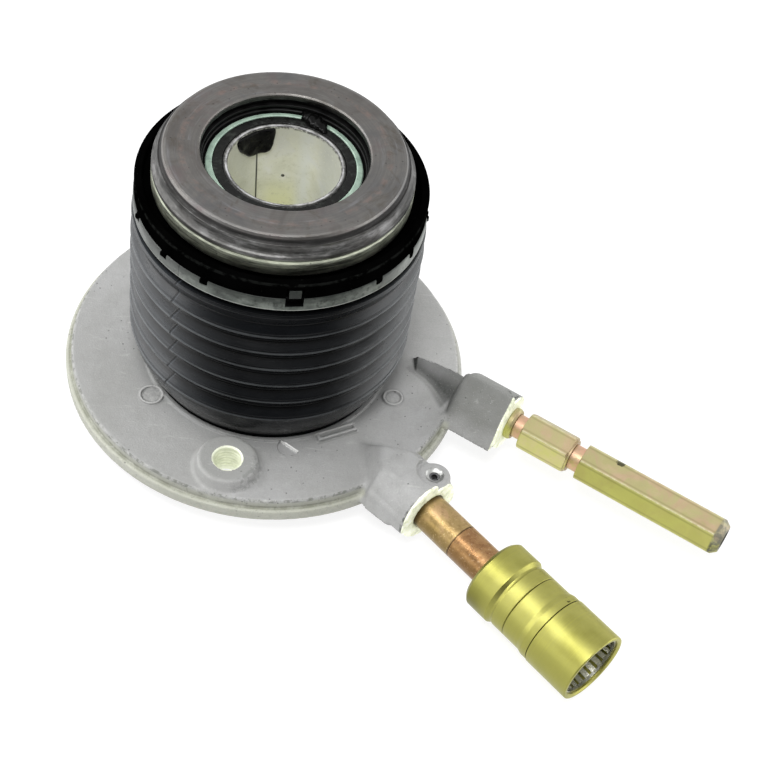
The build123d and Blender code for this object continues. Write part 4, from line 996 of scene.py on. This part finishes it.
def copper_material():
    m = Mat("stem_copper", Metallic=0.9, Roughness=0.3)
    s, side, up = m.along(IN_A, IN_OFF)
    blot = m.noise(0.2, 5, 0.65, distortion=0.5)
    patch = m.noise(0.6, 5, 0.7)
    turn = m.noise(1.8, 3, 0.6, dim="1D", w=s)
    col = m.ramp(blot, [(0.3, rgb(150, 112, 76)), (0.55, rgb(172, 134, 92)), (0.75, rgb(160, 126, 78))])
    col = m.mix(m.step(patch, 0.48, 0.64, 0.0, 0.45), col, rgb(122, 82, 52))
    # painted shade on the near flank of the stem
    col = m.mix(m.step(side, 1.5, 5.4, 0.0, 0.7), col, rgb(104, 80, 44))
    col = m.mix(m.step(m.noise(1.3, 4, 0.7), 0.58, 0.68, 0.0, 0.5), col, rgb(218, 190, 158))
    edge = m.step(s, 102.0, 103.4)
    col = m.mix(m.math("MULTIPLY", edge, 0.7), col, rgb(70, 46, 26))
    m.set("Base Color", col)
    m.set("Roughness", m.step(blot, 0.3, 0.7, 0.24, 0.4))
    m.bump(m.noise(1.2, 4), 0.04)
    m.bump(turn, 0.015)
    return m


def zinc_material():
    m = Mat("zinc_yellow", Metallic=0.6, Roughness=0.42)
    m.bevel(0.15)
    s, side, up = m.along(BL_A, BL_OFF)
    blot = m.noise(0.11, 5, 0.6, distortion=0.8)
    blot2 = m.noise(0.3, 4, 0.6)
    col = m.ramp(blot, [(0.25, rgb(166, 160, 108)), (0.45, rgb(172, 164, 118)), (0.58, rgb(178, 156, 124)), (0.75, rgb(160, 157, 100))])
    col = m.mix(m.step(blot2, 0.5, 0.7, 0.0, 0.3), col, rgb(192, 164, 142))
    # painted reflection: the plating's pink and yellow split by which way each flat faces, pink on the upper flats,
    # greenish yellow on the lower ones, brighter on the lower flats of the short hexagon
    tilt = m.facing((0, 0, 1))
    n_side = m.facing((math.sin(BL_A), -math.cos(BL_A), 0))
    low = m.step(m.math("SUBTRACT", n_side, tilt), 0.0, 0.5)
    col = m.mix(m.math("MULTIPLY", low, 0.8), col, m.ramp(blot, [(0.3, rgb(196, 198, 104)), (0.6, rgb(182, 182, 96))]))
    col = m.mix(m.math("MULTIPLY", m.math("MULTIPLY", low, m.band(s, 81.5, 97.5, 0.3)), 0.6), col, m.ramp(blot2, [(0.35, rgb(228, 214, 168)), (0.6, rgb(226, 224, 150))]))
    # painted highlight on the two necks
    neck_painted_highlight = m.math("ADD", m.band(s, 78.1, 81.0, 0.2), m.band(s, 97.7, 101.0, 0.2))
    col = m.mix(m.math("MULTIPLY", neck_painted_highlight, m.step(blot2, 0.35, 0.6, 0.3, 0.8)), col, rgb(222, 176, 150))
    # three small smuts along the upper edge of the long hexagon
    nz = m.noise(0.55, 2, 0.5)
    smut = None
    for s0, side0, rad0 in ((104.6, -3.0, 0.8), (107.2, -2.9, 0.55), (111.9, -1.6, 0.9)):
        ds = m.math("SUBTRACT", s, s0)
        dq = m.math("SUBTRACT", side, side0)
        dd = m.math("SQRT", m.math("ADD", m.math("MULTIPLY", m.math("MULTIPLY", ds, ds), 0.5), m.math("MULTIPLY", dq, dq)))
        b = m.step(m.math("ADD", dd, m.math("MULTIPLY_ADD", nz, 2.2, -1.1)), rad0, rad0 - 0.35)
        smut = b if smut is None else m.math("MAXIMUM", smut, b)
    smut = m.math("MULTIPLY", smut, m.step(up, 3.6, 4.4))
    col = m.mix(m.math("MULTIPLY", smut, 0.95), col, rgb(26, 28, 26))
    scuff = m.step(m.noise(0.9, 4, 0.7, stretch=(1, 1, 2.5)), 0.6, 0.72, 0.0, 0.4)
    col = m.mix(scuff, col, rgb(170, 168, 128))
    rr = m.math("SQRT", m.math("ADD", m.math("MULTIPLY", side, side), m.math("MULTIPLY", up, up)))
        # painted highlight along the corners of the hexagon and end chamfer, a darker band just inside the corners
    corner = m.math("MULTIPLY", m.step(rr, 6.12, 6.34), m.step(nz, 0.3, 0.6, 0.35, 0.9))
    col = m.mix(m.math("MULTIPLY", corner, 0.6), col, rgb(214, 212, 176))
    edge_dark = m.band(rr, 5.92, 6.12, 0.06)
    col = m.mix(m.math("MULTIPLY", edge_dark, 0.35), col, rgb(120, 116, 72))
    nose = m.step(s, 145.6, 146.3)
    col = m.mix(m.math("MULTIPLY", nose, m.step(m.noise(0.35, 4, 0.7), 0.42, 0.58, 0.35, 0.95)), col, rgb(84, 84, 66))
    # painted light on the upper part of the end
    nose_painted_top_light = m.math("MULTIPLY", nose, m.step(up, 0.5, 3.0))
    col = m.mix(m.math("MULTIPLY", nose_painted_top_light, 0.2), col, rgb(200, 198, 184))
    # painted shade: black inside the hole at the end of the screw
    hole = m.math("MULTIPLY", m.step(rr, 3.3, 3.1), m.step(s, 141.0, 142.0))
    col = m.mix(m.math("MULTIPLY", hole, 0.97), col, rgb(14, 14, 12))
    m.set("Base Color", col)
    m.set("Roughness", m.step(blot2, 0.3, 0.7, 0.4, 0.54))
    m.bump(m.noise(1.5, 4), 0.035)
    m.bump(blot2, 0.05)
    return m


def green_material():
    m = Mat("retainer_green", Metallic=0.0, Roughness=0.36)
    n = m.noise(0.3, 4)
    col = m.ramp(n, [(0.3, rgb(134, 156, 142)), (0.7, rgb(166, 188, 172))])
    film = m.step(m.noise(0.5, 5, 0.7), 0.5, 0.64, 0.0, 0.35)
    col = m.mix(film, col, rgb(90, 104, 94))
    m.set("Base Color", col)
    m.set("Roughness", m.step(n, 0.3, 0.7, 0.3, 0.46))
    m.bump(m.noise(2.0, 3), 0.02)
    return m


def piston_material():
    m = Mat("piston_black", Roughness=0.3)
    m.b.inputs["Specular IOR Level"].default_value = 0.22
    n = m.noise(0.35, 5, 0.7)
    col = m.ramp(n, [(0.35, (0.0010, 0.0011, 0.0010)), (0.54, (0.003, 0.0034, 0.003)), (0.68, (0.026, 0.030, 0.026))])
    m.set("Base Color", col)
    m.set("Roughness", m.step(m.noise(0.8, 4), 0.3, 0.7, 0.2, 0.5))
    m.bump(n, 0.08)
    return m


def grease_material():
    m = Mat("grease_black", Roughness=0.2)
    m.b.inputs["Specular IOR Level"].default_value = 0.12
    n = m.noise(0.9, 5, 0.7)
    m.set("Base Color", m.ramp(n, [(0.35, (0.0012, 0.0012, 0.0012)), (0.75, (0.004, 0.004, 0.004))]))
    m.set("Roughness", m.step(n, 0.3, 0.7, 0.12, 0.3))
    m.bump(m.noise(0.8, 2, 0.5), 0.10)
    return m


cast = cast_material()
machined = bright_cast()
rubber = rubber_material()
carrier = black_plastic()
seal = seal_material()
bearing = bearing_material()
gold = gold_material()
zinc = zinc_material()
grease = grease_material()
ring_green = green_material()
spring_steel = simple_metal("spring_steel", rgb(92, 92, 94), rgb(128, 128, 130), (0.3, 0.45), 0.2, 1.0, 1.4, 0.02)
pin_steel = simple_metal("pin_steel", rgb(84, 84, 86), rgb(130, 130, 132), (0.2, 0.36), 0.4, 1.0, 1.4, 0.02)
countersink_metal = simple_metal("countersink_metal", rgb(132, 133, 132), rgb(206, 207, 204), (0.3, 0.42), 0.35, 0.9, 1.4, 0.03)
dress(["housing"], cast)
dress(["dust_boot"], rubber)
dress(["bearing_carrier", "retainer_key"], carrier)
dress(["guide_tube_o_ring", "inlet_o_ring", "coupling_seal", "bleed_screw_o_ring", "piston_seal", "bearing_seal"], seal)
dress(["bearing_outer_ring"], bearing)
dress(["bearing_inner_ring", "bearing_shield"], dark_bearing())
dress(["guide_tube"], tube_material())
dress(["coupling_body"], gold)
dress(["inlet_tube"], bronze_material())
dress(["coupling_stem"], copper_material())
dress(["bleed_adapter", "bleed_adapter_collar", "bleed_screw"], zinc)
dress(["retaining_ring"], ring_green)
dress(["piston"], piston_material())
dress(["preload_spring", "disc_spring"], spring_steel)
dress(["inlet_roll_pin"], pin_steel)
dress(["coupling_clip", "coupling_valve_spring", "bearing_cage"], simple_metal("clip_steel", rgb(196, 196, 186), rgb(226, 226, 214), (0.25, 0.4), 0.2, 1.0, 1.4, 0.02))
dress(["bearing_balls"], simple_metal("ball_steel", rgb(196, 196, 200), rgb(222, 222, 226), (0.08, 0.16), 0.1, 1.0, 0.8, 0.005))
dress(["coupling_valve", "coupling_valve_guide"], simple_metal("valve_brass", rgb(120, 104, 56), rgb(150, 132, 72), (0.25, 0.4), 0.2, 1.0, 1.4, 0.02))


# ------------------------------------------------------------------ pieces
def add_casting():
    fine, quads, nrm = surface_nets(cast_field, (-63.5, -66.0, 1.4), (82.5, 63.5, 19.4), 0.5)
    top = big_mesh("casting_upper", fine, quads, nrm, cast, "housing_body")
    coarse, quads, nrm = surface_nets(cast_field, (-63.5, -66.0, -9.2), (82.5, 63.5, 2.4), 0.7, inset=0.04)
    big_mesh("casting_underside", coarse, quads, nrm, cast, "housing_body")
    print("casting quads", len(top.data.polygons), len(quads))
    az = np.linspace(0, 2 * math.pi, 129)[:-1]
    wall = [(28.15, 17.0), (27.65, 47.2), (27.35, 47.9), (25.2, 47.95), (24.0, 46.9), (24.0, 17.0)]
    v, q = lathe_grid(wall, az)
    mesh_from("casting_cylinder_wall", v, q, cast, "housing_body")
    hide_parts("housing")


def turned(name, profile, material, body, origin, x_axis, axis, n=96):
    """Lathe profile (radius, height) about an axis through origin."""
    az = np.linspace(0, 2 * math.pi, n + 1)[:-1]
    v, q = lathe_grid(profile, az)
    o, x, z = Vector(origin), Vector(x_axis).normalized(), Vector(axis).normalized()
    y = z.cross(x)
    m = np.array([x, y, z])
    v = v @ m + np.array(o)
    return mesh_from(name, v, q, material, body, smooth=False)


def soft_edges(o, angle=32):
    """Smooth shading inside each run of the profile, with its sharp corners kept."""
    me = o.data
    me.polygons.foreach_set("use_smooth", np.ones(len(me.polygons), dtype=bool))
    try:
        me.set_sharp_from_angle(angle=math.radians(angle))
    except AttributeError:
        pass


def add_inserts():
    # threaded bores of the two mounting bosses
    for k in range(2):
        a = math.radians(-99.8 + 180 * k)
        c = (49.0 * math.cos(a), 49.0 * math.sin(a), 0)
        prof = [(4.75, 0.15), (4.75, 10.7), (4.62, 10.93), (4.5, 10.96), (4.12, 10.6)]
        z = 10.0
        while z > 1.4:
            prof += [(4.08, z), (4.08, z - 0.22), (4.36, z - 0.62), (4.36, z - 0.82)]
            z -= 1.25
        prof += [(4.1, 0.6), (4.4, 0.15)]
        o = turned("bolt_bore_%d" % (k + 1), prof, machined, "housing_body", c, (1, 0, 0), (0, 0, 1))
        soft_edges(o)
    # countersink of the roll pin hole
    o = turned("pin_countersink", [(3.0, 10.6), (3.0, 13.2), (2.85, 13.42), (2.7, 13.44), (2.1, 12.9), (1.56, 12.75), (1.56, 10.6)], countersink_metal, "housing_body", (51.8, -49.5, 0), (1, 0, 0), (0, 0, 1), 64)
    soft_edges(o)
    # machined lips round the two ports
    d = (math.cos(IN_A), math.sin(IN_A), 0)
    side = (math.sin(IN_A), -math.cos(IN_A), 0)
    o = turned("inlet_lip", [(5.68, 62.0), (6.1, 62.0), (6.1, 75.0), (6.3, 76.3), (6.3, 76.49), (6.2, 76.5), (5.68, 76.05)], machined, "housing_body", (side[0] * IN_OFF, side[1] * IN_OFF, PORT_Z), side, d)
    soft_edges(o)
    d = (math.cos(BL_A), math.sin(BL_A), 0)
    side = (math.sin(BL_A), -math.cos(BL_A), 0)
    o = turned("bleed_lip", [(3.64, 63.5), (4.5, 63.5), (4.5, 74.8), (4.6, 75.6), (4.6, 75.79), (4.3, 75.8), (3.64, 75.2)], machined, "housing_body", (side[0] * BL_OFF, side[1] * BL_OFF, PORT_Z), side, d)
    soft_edges(o)


def boot_profile():
    crests = [(41.9, 64.6), (42.2, 57.2), (42.2, 50.6), (42.2, 43.9), (42.2, 37.0), (42.2, 29.8), (42.2, 22.1)]
    roots = [(40.3, 61.0), (39.8, 54.0), (39.8, 47.3), (39.8, 40.5), (39.8, 33.4), (39.8, 26.0)]
    out = [(38.5, 72.1), (40.9, 72.1), (41.25, 72.02), (41.42, 71.8), (41.45, 71.2), (41.47, 70.3), (41.48, 69.2), (41.5, 68.25), (41.52, 67.95), (41.4, 67.78), (41.1, 67.72), (40.35, 67.65), (40.15, 67.4), (40.05, 66.6), (40.1, 65.9)]
    start = (40.1, 65.9)
    for i, (rc, zc) in enumerate(crests):
        r0, z0 = start
        n = 9
        for k in range(1, n + 1):
            t = k / n
            out.append((r0 + (rc - 0.32 - r0) * t ** 0.92, z0 + (zc + 1.15 - z0) * t))
        # fine lip: shallow channel and a small bead standing proud
        out += [(rc - 0.34, zc + 0.92), (rc - 0.42, zc + 0.78), (rc - 0.34, zc + 0.62), (rc - 0.14, zc + 0.5), (rc - 0.03, zc + 0.32), (rc, zc + 0.12), (rc - 0.06, zc - 0.08), (rc - 0.24, zc - 0.2)]
        if i < len(roots):
            r1, z1 = roots[i]
            out += [(rc - 0.6, zc - 0.7), (r1 + 0.45, z1 + 0.55), (r1 + 0.12, z1 + 0.12), (r1, z1 - 0.15), (r1 + 0.05, z1 - 0.4)]
            start = (r1 + 0.05, z1 - 0.4)
    # the foot tucks in towards the flange
    for t in np.linspace(0.06, 1, 16):
        r = 41.9 + (36.35 - 41.9) * (t ** 1.15)
        z = 21.6 + (8.2 - 21.6) * t
        bulge = 0.55 * math.sin(math.pi * t)
        out.append((r + bulge, z))
    out += [(36.35, 7.6), (36.3, 7.08)]
    inner = [(34.9, 7.08), (34.9, 9.2)]
    for i in range(len(crests) - 1, -1, -1):
        rc, zc = crests[i]
        inner.append((rc - 1.5, zc - 0.1))
        if i > 0:
            r, z = roots[i - 1]
            inner.append((r - 1.25, z + 0.1))
    inner += [(38.7, 66.0), (38.5, 67.0)]
    return out + inner, len(out)


HOOKS = (-77, -55, -35, 35, 55, 77)


def add_boot():
    profile, n_out = boot_profile()
    az = list(np.linspace(-math.pi, math.pi, 361)[:-1])
    cuts = [(-81.5 - 3.35, -81.5 + 3.35, 39.4, 68.95, 80.0)] + [(-81.5 + o - 1.55, -81.5 + o + 1.55, 40.6, 70.4, 80.0) for o in HOOKS]
    for a, b, *_ in cuts:
        for e in (a, b):
            az += [math.radians(e - 0.12), math.radians(e + 0.12)]
    az = np.array(sorted(az))
    # keep samples a little apart
    az = az[np.concatenate([[True], np.diff(az) > 1e-4])]
    p = []
    for r, z in profile:
        p.append((r, z))
    full = []
    for k, (r, z) in enumerate(p):
        full.append((r, z))
        if k < n_out - 1:
            r2, z2 = p[k + 1]
            for level in (70.4, 68.95):
                if z > level > z2:
                    t = (z - level) / (z - z2)
                    full.append((r + (r2 - r) * (t - 0.02), level + 0.04))
                    full.append((r + (r2 - r) * (t + 0.02), level - 0.04))
    prof = full

    def radial(r, z, a):
        deg = np.degrees(a)
        out = r.copy()
        for lo, hi, r_in, z_lo, z_hi in cuts:
            m = (deg > lo) & (deg < hi) & (z > z_lo) & (z < z_hi) & (r > r_in)
            out[m] = r_in
        # slight unevenness of the moulded folds
        wob = 0.05 * np.sin(3 * a + 0.13 * z) + 0.04 * np.sin(7 * a - 0.31 * z)
        out += np.where((z < 66) & (z > 9), wob, 0)
        return out

    v, q = lathe_grid(prof, az, radial)
    o = mesh_from("boot_bellows", v, q, rubber, "housing_body")
    tab = slab_on_cylinder(math.radians(-81.5), 3.3, 41.3, 41.62, 72.5, 75.35, 0.15)
    me = o.data
    # locating tab joined to the bellows
    tv, tq = tab
    base = len(v)
    v2 = np.concatenate([v, tv])
    q2 = [tuple(int(i) for i in f) for f in q] + [tuple(int(i) + base for i in f) for f in tq]
    me2 = bpy.data.meshes.new("boot_bellows_mesh")
    me2.from_pydata((v2 * MM).tolist(), [], q2)
    me2.update()
    me2.polygons.foreach_set("use_smooth", np.ones(len(me2.polygons), dtype=bool))
    me2.set_sharp_from_angle(angle=math.radians(50))
    me2.materials.append(rubber.m)
    at = me2.attributes.new("rest", "FLOAT_VECTOR", "POINT")
    at.data.foreach_set("vector", v2.astype(np.float32).ravel())
    o.data = me2
    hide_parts("dust_boot")
    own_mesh(o)
    return o


def slab_on_cylinder(az, width, r0, r1, z0, z1, rad):
    """Small rounded block whose outer face lies on a cylinder."""
    n = 7
    us = np.linspace(-width / 2, width / 2, n)
    zs = np.array([z0, z0 + rad, (z0 + z1) / 2, z1 - rad, z1])
    rs = np.array([r0, r1 - rad, r1])
    pts, quads = [], []
    # outer face grid with a rounded border
    grid = {}
    for i, u in enumerate(us):
        for j, z in enumerate(zs):
            r = r1
            if i in (0, n - 1) or j in (0, len(zs) - 1):
                r = r1 - rad
            a = az + u / r1
            grid[i, j] = len(pts)
            pts.append((r * math.cos(a), r * math.sin(a), z))
    for i in range(n - 1):
        for j in range(len(zs) - 1):
            quads.append((grid[i, j], grid[i + 1, j], grid[i + 1, j + 1], grid[i, j + 1]))
    border = [(i, 0) for i in range(n)] + [(n - 1, j) for j in range(1, len(zs))] + [(i, len(zs) - 1) for i in range(n - 2, -1, -1)] + [(0, j) for j in range(len(zs) - 2, 0, -1)]
    back = {}
    for i, j in border:
        a = az + us[i] / r1
        back[i, j] = len(pts)
        pts.append((r0 * math.cos(a), r0 * math.sin(a), zs[j]))
    for k in range(len(border)):
        p, q = border[k], border[(k + 1) % len(border)]
        quads.append((grid[q], grid[p], back[p], back[q]))
    return np.array(pts, float), quads


def add_hooks():
    """Six small locking hooks of the carrier that show in the notches of the collar."""
    vs, qs, base = [], [], 0
    for off in HOOKS:
        a = math.radians(-81.5 + off)
        for width, r1, z0, z1, da in ((1.9, 41.55, 70.5, 72.9, 0.0), (1.1, 41.9, 70.7, 71.9, -0.014)):
            v, q = slab_on_cylinder(a + da, width, 40.7, r1, z0, z1, 0.18)
            vs.append(v)
            qs += [tuple(i + base for i in f) for f in q]
            base += len(v)
    o = mesh_from("carrier_hooks", np.concatenate(vs), qs, carrier, "release_carriage")
    return o


def add_spring():
    src = nodes["preload_spring"]
    me = src.data.copy()
    me.name = "return_spring_mesh"
    o = bpy.data.objects.new("return_spring", me)
    bpy.context.scene.collection.objects.link(o)
    me.materials.clear()
    me.materials.append(spring_steel.m)
    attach(o, "housing_body")
    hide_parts("preload_spring")
    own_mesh(o)
    # the small spring behind the coupling's valve, which shortens as the valve opens, gets an object of its own
    me = nodes["coupling_valve_spring"].data.copy()
    me.name = "valve_spring_coil_mesh"
    o = bpy.data.objects.new("valve_spring_coil", me)
    bpy.context.scene.collection.objects.link(o)
    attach(o, "housing_body")
    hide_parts("coupling_valve_spring")
    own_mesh(o)


def add_grease():
    """Glossy lump of black grease on the inside of the guide tube, under its rim."""
    rng = np.random.default_rng(5)
    outline = [(151, 82.0), (147, 79.0), (143, 76.6), (137, 75.0), (131, 73.6), (125, 73.2), (119, 73.4), (113, 73.2), (108, 73.8), (104.5, 76.0), (103, 78.6), (103, 80.4), (104, 82.0)]
    cx = sum(p[0] for p in outline) / len(outline)
    cz = 78.6
    n = 72
    # resample the outline by angle about its middle
    poly = np.array([((p[0] - cx) * 0.275, p[1] - cz) for p in outline])
    ang = np.linspace(0, 2 * math.pi, n, endpoint=False)
    rad = []
    for t in ang:
        d = np.array([math.cos(t), math.sin(t)])
        best = 0.0
        for i in range(len(poly)):
            p, q = poly[i], poly[(i + 1) % len(poly)]
            e = q - p
            den = d[0] * e[1] - d[1] * e[0]
            if abs(den) < 1e-9:
                continue
            s = (p[0] * e[1] - p[1] * e[0]) / den
            u = (p[0] * d[1] - p[1] * d[0]) / den
            if s > 0 and -1e-6 <= u <= 1 + 1e-6:
                best = max(best, s)
        rad.append(best)
    rad = np.array(rad)
    rad = 0.5 * rad + 0.25 * np.roll(rad, 1) + 0.25 * np.roll(rad, -1)
    rad *= 1.03 + 0.02 * np.sin(5 * ang + 1)
    rings = [1.0, 0.985, 0.94, 0.85, 0.7, 0.5, 0.3, 0.12]
    pts, quads = [], []
    waves = rng.uniform(0, 6.28, 6)
    for f in rings:
        for t, r in zip(ang, rad):
            u, w = r * f * math.cos(t), r * f * math.sin(t)
            h = 0.9 * (1 - f ** 6) ** 0.5
            h *= 1 + 0.22 * math.sin(0.9 * u + waves[0]) * math.sin(0.8 * w + waves[1]) + 0.06 * math.sin(1.9 * u + waves[2]) * math.sin(1.7 * w + waves[3])
            a = math.radians(cx) + u / 15.75
            rr = 15.78 - max(h, 0)
            z = min(cz + w, 82.0)
            pts.append((rr * math.cos(a), rr * math.sin(a), z))
    m = len(ang)
    for i in range(len(rings) - 1):
        for j in range(m):
            j2 = (j + 1) % m
            quads.append((i * m + j, i * m + j2, (i + 1) * m + j2, (i + 1) * m + j))
    a = math.radians(cx)
    pts.append((15.05 * math.cos(a), 15.05 * math.sin(a), cz))
    last = len(rings) - 1
    faces = [tuple(q) for q in quads] + [(last * m + j, last * m + (j + 1) % m, len(pts) - 1) for j in range(m)]
    return mesh_from("grease_smear", np.array(pts), faces, grease, "housing_body")


def add_ring():
    """Pale split ring, and the smear of grease that fills its gap."""
    a0, a1 = math.radians(72 + 8.3), math.radians(72 - 8.3 + 360)
    n = 220
    prof = [(19.95, 80.7), (21.6, 80.7), (21.88, 80.95), (21.88, 82.0), (21.6, 82.35), (20.3, 82.75), (20.05, 82.6)]
    pts, quads = [], []
    for j in range(n + 1):
        a = a0 + (a1 - a0) * j / n
        for r, z in prof:
            pts.append((r * math.cos(a), r * math.sin(a), z))
    k = len(prof)
    for j in range(n):
        for i in range(k):
            i2 = (i + 1) % k
            quads.append((j * k + i, j * k + i2, (j + 1) * k + i2, (j + 1) * k + i))
    quads += [tuple(range(k))[::-1], tuple(n * k + i for i in range(k))]
    o = mesh_from("split_ring_band", np.array(pts), quads, ring_green, "release_carriage")
    soft_edges(o)
    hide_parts("retaining_ring")
    # lump of grease over the key: a rounded ridge along a short bent line
    line = [(23.4, 80.0, 82.7, 0.6), (22.6, 78.2, 83.1, 1.3), (21.4, 75.4, 83.2, 1.8), (20.4, 71.0, 83.25, 2.0), (19.6, 66.0, 83.2, 2.1), (18.8, 60.5, 83.1, 1.9), (18.1, 56.0, 82.9, 1.1), (17.7, 53.6, 82.6, 0.4)]
    pts, quads = [], []
    m = 18
    cs = []
    for r, d, z, w in line:
        a = math.radians(d)
        cs.append((np.array([r * math.cos(a), r * math.sin(a), z]), w))
    fine = []
    for i in range(len(cs) - 1):
        for s in range(4):
            t = s / 4
            fine.append((cs[i][0] * (1 - t) + cs[i + 1][0] * t, cs[i][1] * (1 - t) + cs[i + 1][1] * t))
    fine.append(cs[-1])
    for i, (c, w) in enumerate(fine):
        p = fine[max(i - 1, 0)][0]
        q = fine[min(i + 1, len(fine) - 1)][0]
        d = (q - p) / np.linalg.norm(q - p)
        side = np.cross(d, [0, 0, 1])
        side /= np.linalg.norm(side)
        for k in range(m):
            b = 2 * math.pi * k / m
            rr = w * (1 + 0.16 * math.sin(3 * b + 0.9 * i) + 0.1 * math.sin(1.7 * i))
            pts.append(c + side * rr * math.cos(b) + np.array([0, 0, 1]) * rr * 0.55 * math.sin(b))
    for i in range(len(fine) - 1):
        for k in range(m):
            k2 = (k + 1) % m
            quads.append((i * m + k, i * m + k2, (i + 1) * m + k2, (i + 1) * m + k))
    quads += [tuple(range(m))[::-1], tuple((len(fine) - 1) * m + k for k in range(m))]
    p = np.array(pts)
    rr = np.hypot(p[:, 0], p[:, 1])
    p[:, :2] *= (np.maximum(rr, 17.34) / rr)[:, None]
    p[:, 2] = np.where(rr > 22.6, np.minimum(p[:, 2], 83.25), p[:, 2])
    o = mesh_from("gap_grease", p, quads, grease, "release_carriage")
    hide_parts("retainer_key")


add_casting()
add_ring()
add_inserts()
add_boot()
add_hooks()
add_spring()
add_grease()


# ------------------------------------------------------------------ studio
def studio():
    fm = Mat("floor_white", Roughness=1.0)
    n = fm.noise(0.002, 3)
    fm.set("Base Color", fm.ramp(n, [(0.3, (0.26, 0.26, 0.26)), (0.7, (0.28, 0.28, 0.28))]))
    fm.b.inputs["Specular IOR Level"].default_value = 0.0
    fm.b.inputs["Emission Color"].default_value = (1, 1, 1, 1)
    fm.b.inputs["Emission Strength"].default_value = 0.8
    bpy.ops.mesh.primitive_plane_add(size=8.0, location=(0, 0, -0.0082))
    floor = bpy.context.object
    floor.name = "floor"
    floor.data.materials.append(fm.m)
    w = bpy.data.worlds.new("tent")
    bpy.context.scene.world = w
    w.use_nodes = True
    t = w.node_tree
    t.nodes.clear()
    out = t.nodes.new("ShaderNodeOutputWorld")
    bg = t.nodes.new("ShaderNodeBackground")
    t.links.new(bg.outputs[0], out.inputs["Surface"])
    tc = t.nodes.new("ShaderNodeTexCoord")
    sep = t.nodes.new("ShaderNodeSeparateXYZ")
    t.links.new(tc.outputs["Generated"], sep.inputs[0])

    def mth(op, a, b=0.0, c=None):
        n = t.nodes.new("ShaderNodeMath")
        n.operation = op
        for sock, v in zip(n.inputs, (a, b, c) if c is not None else (a, b)):
            if hasattr(v, "is_output"):
                t.links.new(v, sock)
            else:
                sock.default_value = v
        return n.outputs[0]

    def smooth(v, lo, hi, a, b):
        n = t.nodes.new("ShaderNodeMapRange")
        n.interpolation_type = "SMOOTHSTEP"
        t.links.new(v, n.inputs["Value"])
        for k, x in (("From Min", lo), ("From Max", hi), ("To Min", a), ("To Max", b)):
            n.inputs[k].default_value = x
        return n.outputs[0]

    x, y, z = sep.outputs[0], sep.outputs[1], sep.outputs[2]
    # the studio is darker behind the photographer, low down
    front = smooth(mth("ADD", y, mth("MULTIPLY", z, 0.5)), -0.62, -0.2, 1.0, 0.0)
    sides = smooth(mth("ABSOLUTE", x), 0.45, 0.95, 0.0, 1.0)
    low = smooth(z, 0.1, 0.62, 1.0, 0.0)
    base = mth("MULTIPLY_ADD", mth("MULTIPLY", sides, low), 3.0, 0.86)
    right_cut = smooth(x, 0.2, 0.9, 1.0, 0.86)
    base = mth("MULTIPLY", base, right_cut)
    dark = mth("MULTIPLY", front, 0.96)
    level = mth("MULTIPLY", base, mth("SUBTRACT", 1.0, dark))
    t.links.new(level, bg.inputs[1])
    bg.inputs[0].default_value = (1, 1, 1, 1)

    def area(name, loc, target, size, power, colour=(1, 1, 1)):
        d = bpy.data.lights.new(name, "AREA")
        d.shape = "RECTANGLE"
        d.size, d.size_y = size
        d.energy = power
        d.color = colour
        o = bpy.data.objects.new(name, d)
        bpy.context.scene.collection.objects.link(o)
        o.location = loc
        o.rotation_mode = "QUATERNION"
        o.rotation_quaternion = (Vector(target) - Vector(loc)).to_track_quat("-Z", "Y")

    area("key", (-0.6, 0.05, 0.75), (0, 0, 0.03), (0.4, 0.4), 3.0)
    area("front_top", (-0.12, -0.45, 1.15), (0, 0, 0.04), (0.35, 0.35), 8.0)


studio()

# ------------------------------------------------------------------ camera fitted to the photograph
cam_data = bpy.data.cameras.new("camera")
cam_data.sensor_width = 36.0
cam_data.lens = 77.98
cam_data.dof.use_dof = False
cam_data.clip_start, cam_data.clip_end = 0.01, 20
cam = bpy.data.objects.new("camera", cam_data)
bpy.context.scene.collection.objects.link(cam)
right = Vector((0.99284793, 0.02543715, 0.11664449))
up = Vector((-0.09535461, 0.75686133, 0.64658211))
fwd = Vector((0.0718365, 0.6530803, -0.75387375))
cam.matrix_world = Matrix((
    (right.x, up.x, -fwd.x, 0.0),
    (right.y, up.y, -fwd.y, -0.34500799),
    (right.z, up.z, -fwd.z, 0.3925971),
    (0, 0, 0, 1),
))
bpy.context.scene.camera = cam
bpy.context.scene.view_settings.view_transform = "Standard"
bpy.context.scene.view_settings.look = "None"
